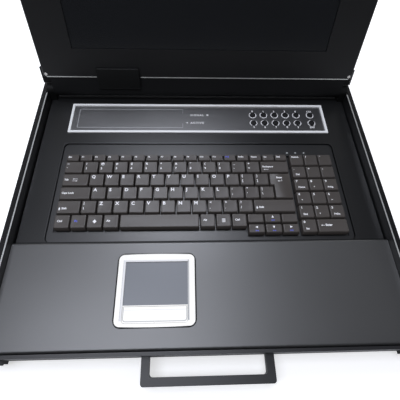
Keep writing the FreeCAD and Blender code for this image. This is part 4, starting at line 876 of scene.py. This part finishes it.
play = span("touchpad_button_right")[0][0] - span("touchpad_button_left")[1][0]
LIP = 0.4 * play        # each button reaches this far over the gap between them
MARGIN = 0.5 * MM
for side in ("touchpad_button_left", "touchpad_button_right"):
    low, high = span(side)
    at_left = side.endswith("left")
    left = low[0] + (MARGIN if at_left else 0)
    right = high[0] - (0 if at_left else MARGIN)
    # a grey line paints the shade of the bevel round the button's outer lower corner
    foot_shade_line = corner_line(left, right, low[1] + 1.3 * MM, high[1] - 0.3 * MM, at_left)
    build(side + "_foot_shade_line", [foot_shade_line], bevel_shade, side, smooth=False)
    lip = (high[0] - PRINT, high[0] + LIP) if at_left else (low[0] - LIP, low[0] + PRINT)
    lip_bar = rule_line(*lip, low[1] + 0.6 * MM, high[1] - 0.3 * MM, bar_level - PRINT)
    build(side + "_lip", [lip_bar], white_paint, side, smooth=False)
    head_line = rule_line(left, right, high[1] - 3.4 * MM, high[1] - 3.0 * MM, bar_level)
    build(side + "_head_line", [head_line], silver_paint, side, smooth=False)

# %% [markdown]
# ## The lid's lower edge
# The lid stands open, so its face is a tilted plane.  A point of it is the hinge axis, plus a way
# along the lid, plus a way out of its face.  A bar made flat and turned afterwards would keep that
# turn on its object; worked out like this, its place is all in its mesh.  The cover over the lid's
# cable is a rounded box, and bright bars at both sides of it paint the highlight along the lower edge.

# %% Places on the open lid
hinge_joint = next(joint for joint in frame["joints"] if joint["name"] == "lid_hinge")
HINGE = np.array(hinge_joint["pos_m"], dtype=float)
OPENING = math.radians(-hinge_joint["range_deg"][0])        # from shut to where it stands at rest
ALONG = np.array([0.0, -math.cos(OPENING), math.sin(OPENING)])
OUT = np.array([0.0, -math.sin(OPENING), -math.cos(OPENING)])
print("the lid stands open by", round(math.degrees(OPENING), 1), "degrees")


def lid_bar(x0, x1, s0, s1, n0, n1):
    """A bar on the lid: across, along the lid and out of its face, in millimetres."""
    rings = []
    for out in (n0, n1):
        corners = [(x0, s0), (x1, s0), (x1, s1), (x0, s1)]
        rings.append(np.array([HINGE + np.array([x * MM, 0, 0]) + ALONG * s * MM + OUT * out * MM
                               for x, s in corners]))
    return closed_stack(rings)


def lid_cover_stack(x0, x1, s0, s1, levels):
    """Rounded outlines on the lid, one above another: each level is an inset and a height."""
    rings = []
    for inset, out in levels:
        flat = rounded_ring(x0 + inset, x1 - inset, s0 + inset, s1 - inset, 1.6, out)
        rings.append(HINGE + np.stack([flat[:, 0], np.zeros(len(flat)), np.zeros(len(flat))], axis=1) * MM
                     + np.outer(flat[:, 1], ALONG) * MM + np.outer(flat[:, 2], OUT) * MM)
    return closed_stack(rings)


# %% Cable cover and painted highlight line
COVER_LEFT, COVER_RIGHT = -142.5, -84.0         # millimetres, as the bars of the lid are given
LINE_END, LINE_LOW, LINE_HIGH = 211.5, 20.3, 21.5
cable_box = lid_cover_stack(COVER_LEFT, COVER_RIGHT, 5.5, 33.5,
                            [(0.0, 8.0), (0.0, 10.6), (0.5, 11.2), (1.2, 11.45)])
build("cable_cover_shell", [cable_box], chin_paint_and_painted_shade, "lid", stands_for=["cable_cover"])
# bright bars paint the highlight along the lid's lower edge
highlight_bars = [lid_bar(-LINE_END, COVER_LEFT - 1, LINE_LOW, LINE_HIGH, 7.8, 8.12),
             lid_bar(COVER_RIGHT + 1, LINE_END, LINE_LOW, LINE_HIGH, 7.8, 8.12)]
build("bezel_lower_highlight", highlight_bars, bare_metal_and_painted_highlight, "lid", smooth=False)

# %% [markdown]
# ## Floor
# The floor is near white and keeps the part's shadow.  It glows a little, but only for rays that
# come straight from the camera, so the glow whitens the picture and adds no light to the part.

# %% Stage
FLOOR_LEVEL = cad_box[0][2] - 0.5 * MM


def stage_white():
    """Near-white floor that glows a little where it is seen directly, and more with distance."""
    material = bpy.data.materials.new("stage_white")
    material.use_nodes = True
    nodes, links = material.node_tree.nodes, material.node_tree.links
    surface = nodes["Principled BSDF"]
    surface.inputs["Base Color"].default_value = (0.86, 0.86, 0.86, 1)
    surface.inputs["Roughness"].default_value = 0.9
    rays = nodes.new("ShaderNodeLightPath")
    amount = nodes.new("ShaderNodeMath")
    amount.operation = "MULTIPLY"
    links.new(rays.outputs["Is Camera Ray"], amount.inputs[0])
    place = nodes.new("ShaderNodeTexCoord")
    distance = nodes.new("ShaderNodeVectorMath")
    distance.operation = "LENGTH"
    links.new(place.outputs["Object"], distance.inputs[0])
    glow = nodes.new("ShaderNodeMapRange")
    glow.inputs["From Min"].default_value = 0.8
    glow.inputs["From Max"].default_value = 2.4
    glow.inputs["To Min"].default_value = 0.45
    glow.inputs["To Max"].default_value = 1.0
    links.new(distance.outputs["Value"], glow.inputs["Value"])
    links.new(glow.outputs["Result"], amount.inputs[1])
    surface.inputs["Emission Color"].default_value = (1, 1, 1, 1)
    links.new(amount.outputs["Value"], surface.inputs["Emission Strength"])
    return material


floor_mesh = bpy.data.meshes.new("floor")
reach = 4.0
floor_mesh.from_pydata([(-reach, -reach, FLOOR_LEVEL), (reach, -reach, FLOOR_LEVEL),
                        (reach, reach, FLOOR_LEVEL), (-reach, reach, FLOOR_LEVEL)], [], [(0, 1, 2, 3)])
floor_mesh.materials.append(stage_white())
floor = bpy.data.objects.new("floor", floor_mesh)
bpy.context.scene.collection.objects.link(floor)

print("floor at", round(FLOOR_LEVEL, 4))

# %% [markdown]
# ## Backdrop and room
# The backdrop behind the part is white, and shiny surfaces mirror it.  Above and in front the room
# is dim, as a studio is, so a glossy black deck seen from above stays black.  A picture of a
# studio wrapped round the world would do the same, but two smooth steps need no file: a mirrored
# ray meets the backdrop where it runs backwards and not too steeply upwards.

# %% The room
SKY_FILL = 0.30         # light of the room on matt surfaces
DIM_ROOM = 0.05         # what shiny surfaces mirror above and in front
world = bpy.data.worlds.new("studio")
bpy.context.scene.world = world
world.use_nodes = True
sky_nodes, sky_links = world.node_tree.nodes, world.node_tree.links
background = sky_nodes["Background"]
background.inputs["Color"].default_value = (1, 1, 1, 1)
rays = sky_nodes.new("ShaderNodeLightPath")
seen = sky_nodes.new("ShaderNodeMath")
seen.operation = "MAXIMUM"
sky_links.new(rays.outputs["Is Camera Ray"], seen.inputs[0])
sky_links.new(rays.outputs["Is Transmission Ray"], seen.inputs[1])


def blend_range(value, low, high):
    """Zero below one value, one above another, smooth between them."""
    step = sky_nodes.new("ShaderNodeMapRange")
    step.interpolation_type = "SMOOTHSTEP"
    step.inputs["From Min"].default_value = low
    step.inputs["From Max"].default_value = high
    sky_links.new(value, step.inputs["Value"])
    return step.outputs["Result"]


def times(first, second):
    """The product of two values."""
    product = sky_nodes.new("ShaderNodeMath")
    product.operation = "MULTIPLY"
    sky_links.new(first, product.inputs[0])
    sky_links.new(second, product.inputs[1])
    return product.outputs["Value"]


# %% What shiny surfaces mirror
direction = sky_nodes.new("ShaderNodeTexCoord")
parts_of = sky_nodes.new("ShaderNodeSeparateXYZ")
sky_links.new(direction.outputs["Object"], parts_of.inputs["Vector"])
backdrop = times(blend_range(parts_of.outputs["Y"], -0.15, 0.25),
                 blend_range(parts_of.outputs["Z"], 0.62, 0.30))
mirrored = sky_nodes.new("ShaderNodeMapRange")
mirrored.inputs["To Min"].default_value = DIM_ROOM
mirrored.inputs["To Max"].default_value = 1.0
sky_links.new(backdrop, mirrored.inputs["Value"])
for_glossy = sky_nodes.new("ShaderNodeMix")
for_glossy.inputs["A"].default_value = SKY_FILL
sky_links.new(rays.outputs["Is Glossy Ray"], for_glossy.inputs["Factor"])
sky_links.new(mirrored.outputs["Result"], for_glossy.inputs["B"])
strength = sky_nodes.new("ShaderNodeMix")
strength.inputs["B"].default_value = 1.0
sky_links.new(seen.outputs["Value"], strength.inputs["Factor"])
sky_links.new(for_glossy.outputs["Result"], strength.inputs["A"])
sky_links.new(strength.outputs["Result"], background.inputs["Strength"])
print("the world has", len(sky_nodes), "nodes")

# %% [markdown]
# ## Soft lamps
# One soft lamp hangs over the palm rest and lights it from its front left.  A second one stands
# high behind the lid: deck, keys and switch panel mirror it.  A weak one fills from the right.
# Area lamps give broad, soft highlights, where point lamps would draw a hard dot on every key.

# %% Lamps
COOL_LIGHT = (0.87, 0.90, 1.0)      # studio daylight, a little blue


def soft_lamp(name, place, target, across, along, power):
    """A rectangular area lamp that looks at a point.

    Its back axis runs from the target to its place; cross products give right and up.
    """
    data = bpy.data.lights.new(name, "AREA")
    data.shape = "RECTANGLE"
    data.size = across
    data.size_y = along
    data.energy = power
    data.color = COOL_LIGHT
    lamp = bpy.data.objects.new(name, data)
    bpy.context.scene.collection.objects.link(lamp)
    back = np.array(place, dtype=float) - np.array(target, dtype=float)
    back /= np.linalg.norm(back)
    # the reference is any direction that no lamp looks along
    right = np.cross([0, 1, 0.01], back)
    right /= np.linalg.norm(right)
    turn = np.eye(4)
    turn[:3, 0], turn[:3, 1], turn[:3, 2], turn[:3, 3] = right, np.cross(back, right), back, place
    lamp.matrix_world = Matrix(turn.tolist())
    return lamp


soft_lamp("front_softbox", (-0.29, 0.0, 1.30), (-0.06, 0.0, 0.0), 0.95, 0.6, 9.8)
soft_lamp("long_softbox", (-0.12, 1.08, 1.35), (-0.03, 0.25, 0.0), 0.5, 0.9, 15.5)
soft_lamp("fill_lamp", (0.9, -0.7, 1.1), (0.1, 0.1, 0.0), 1.2, 1.2, 0.8)
print("lamps:", [item.name for item in bpy.data.lights])

# %% Colour management
bpy.context.scene.view_settings.view_transform = "Standard"
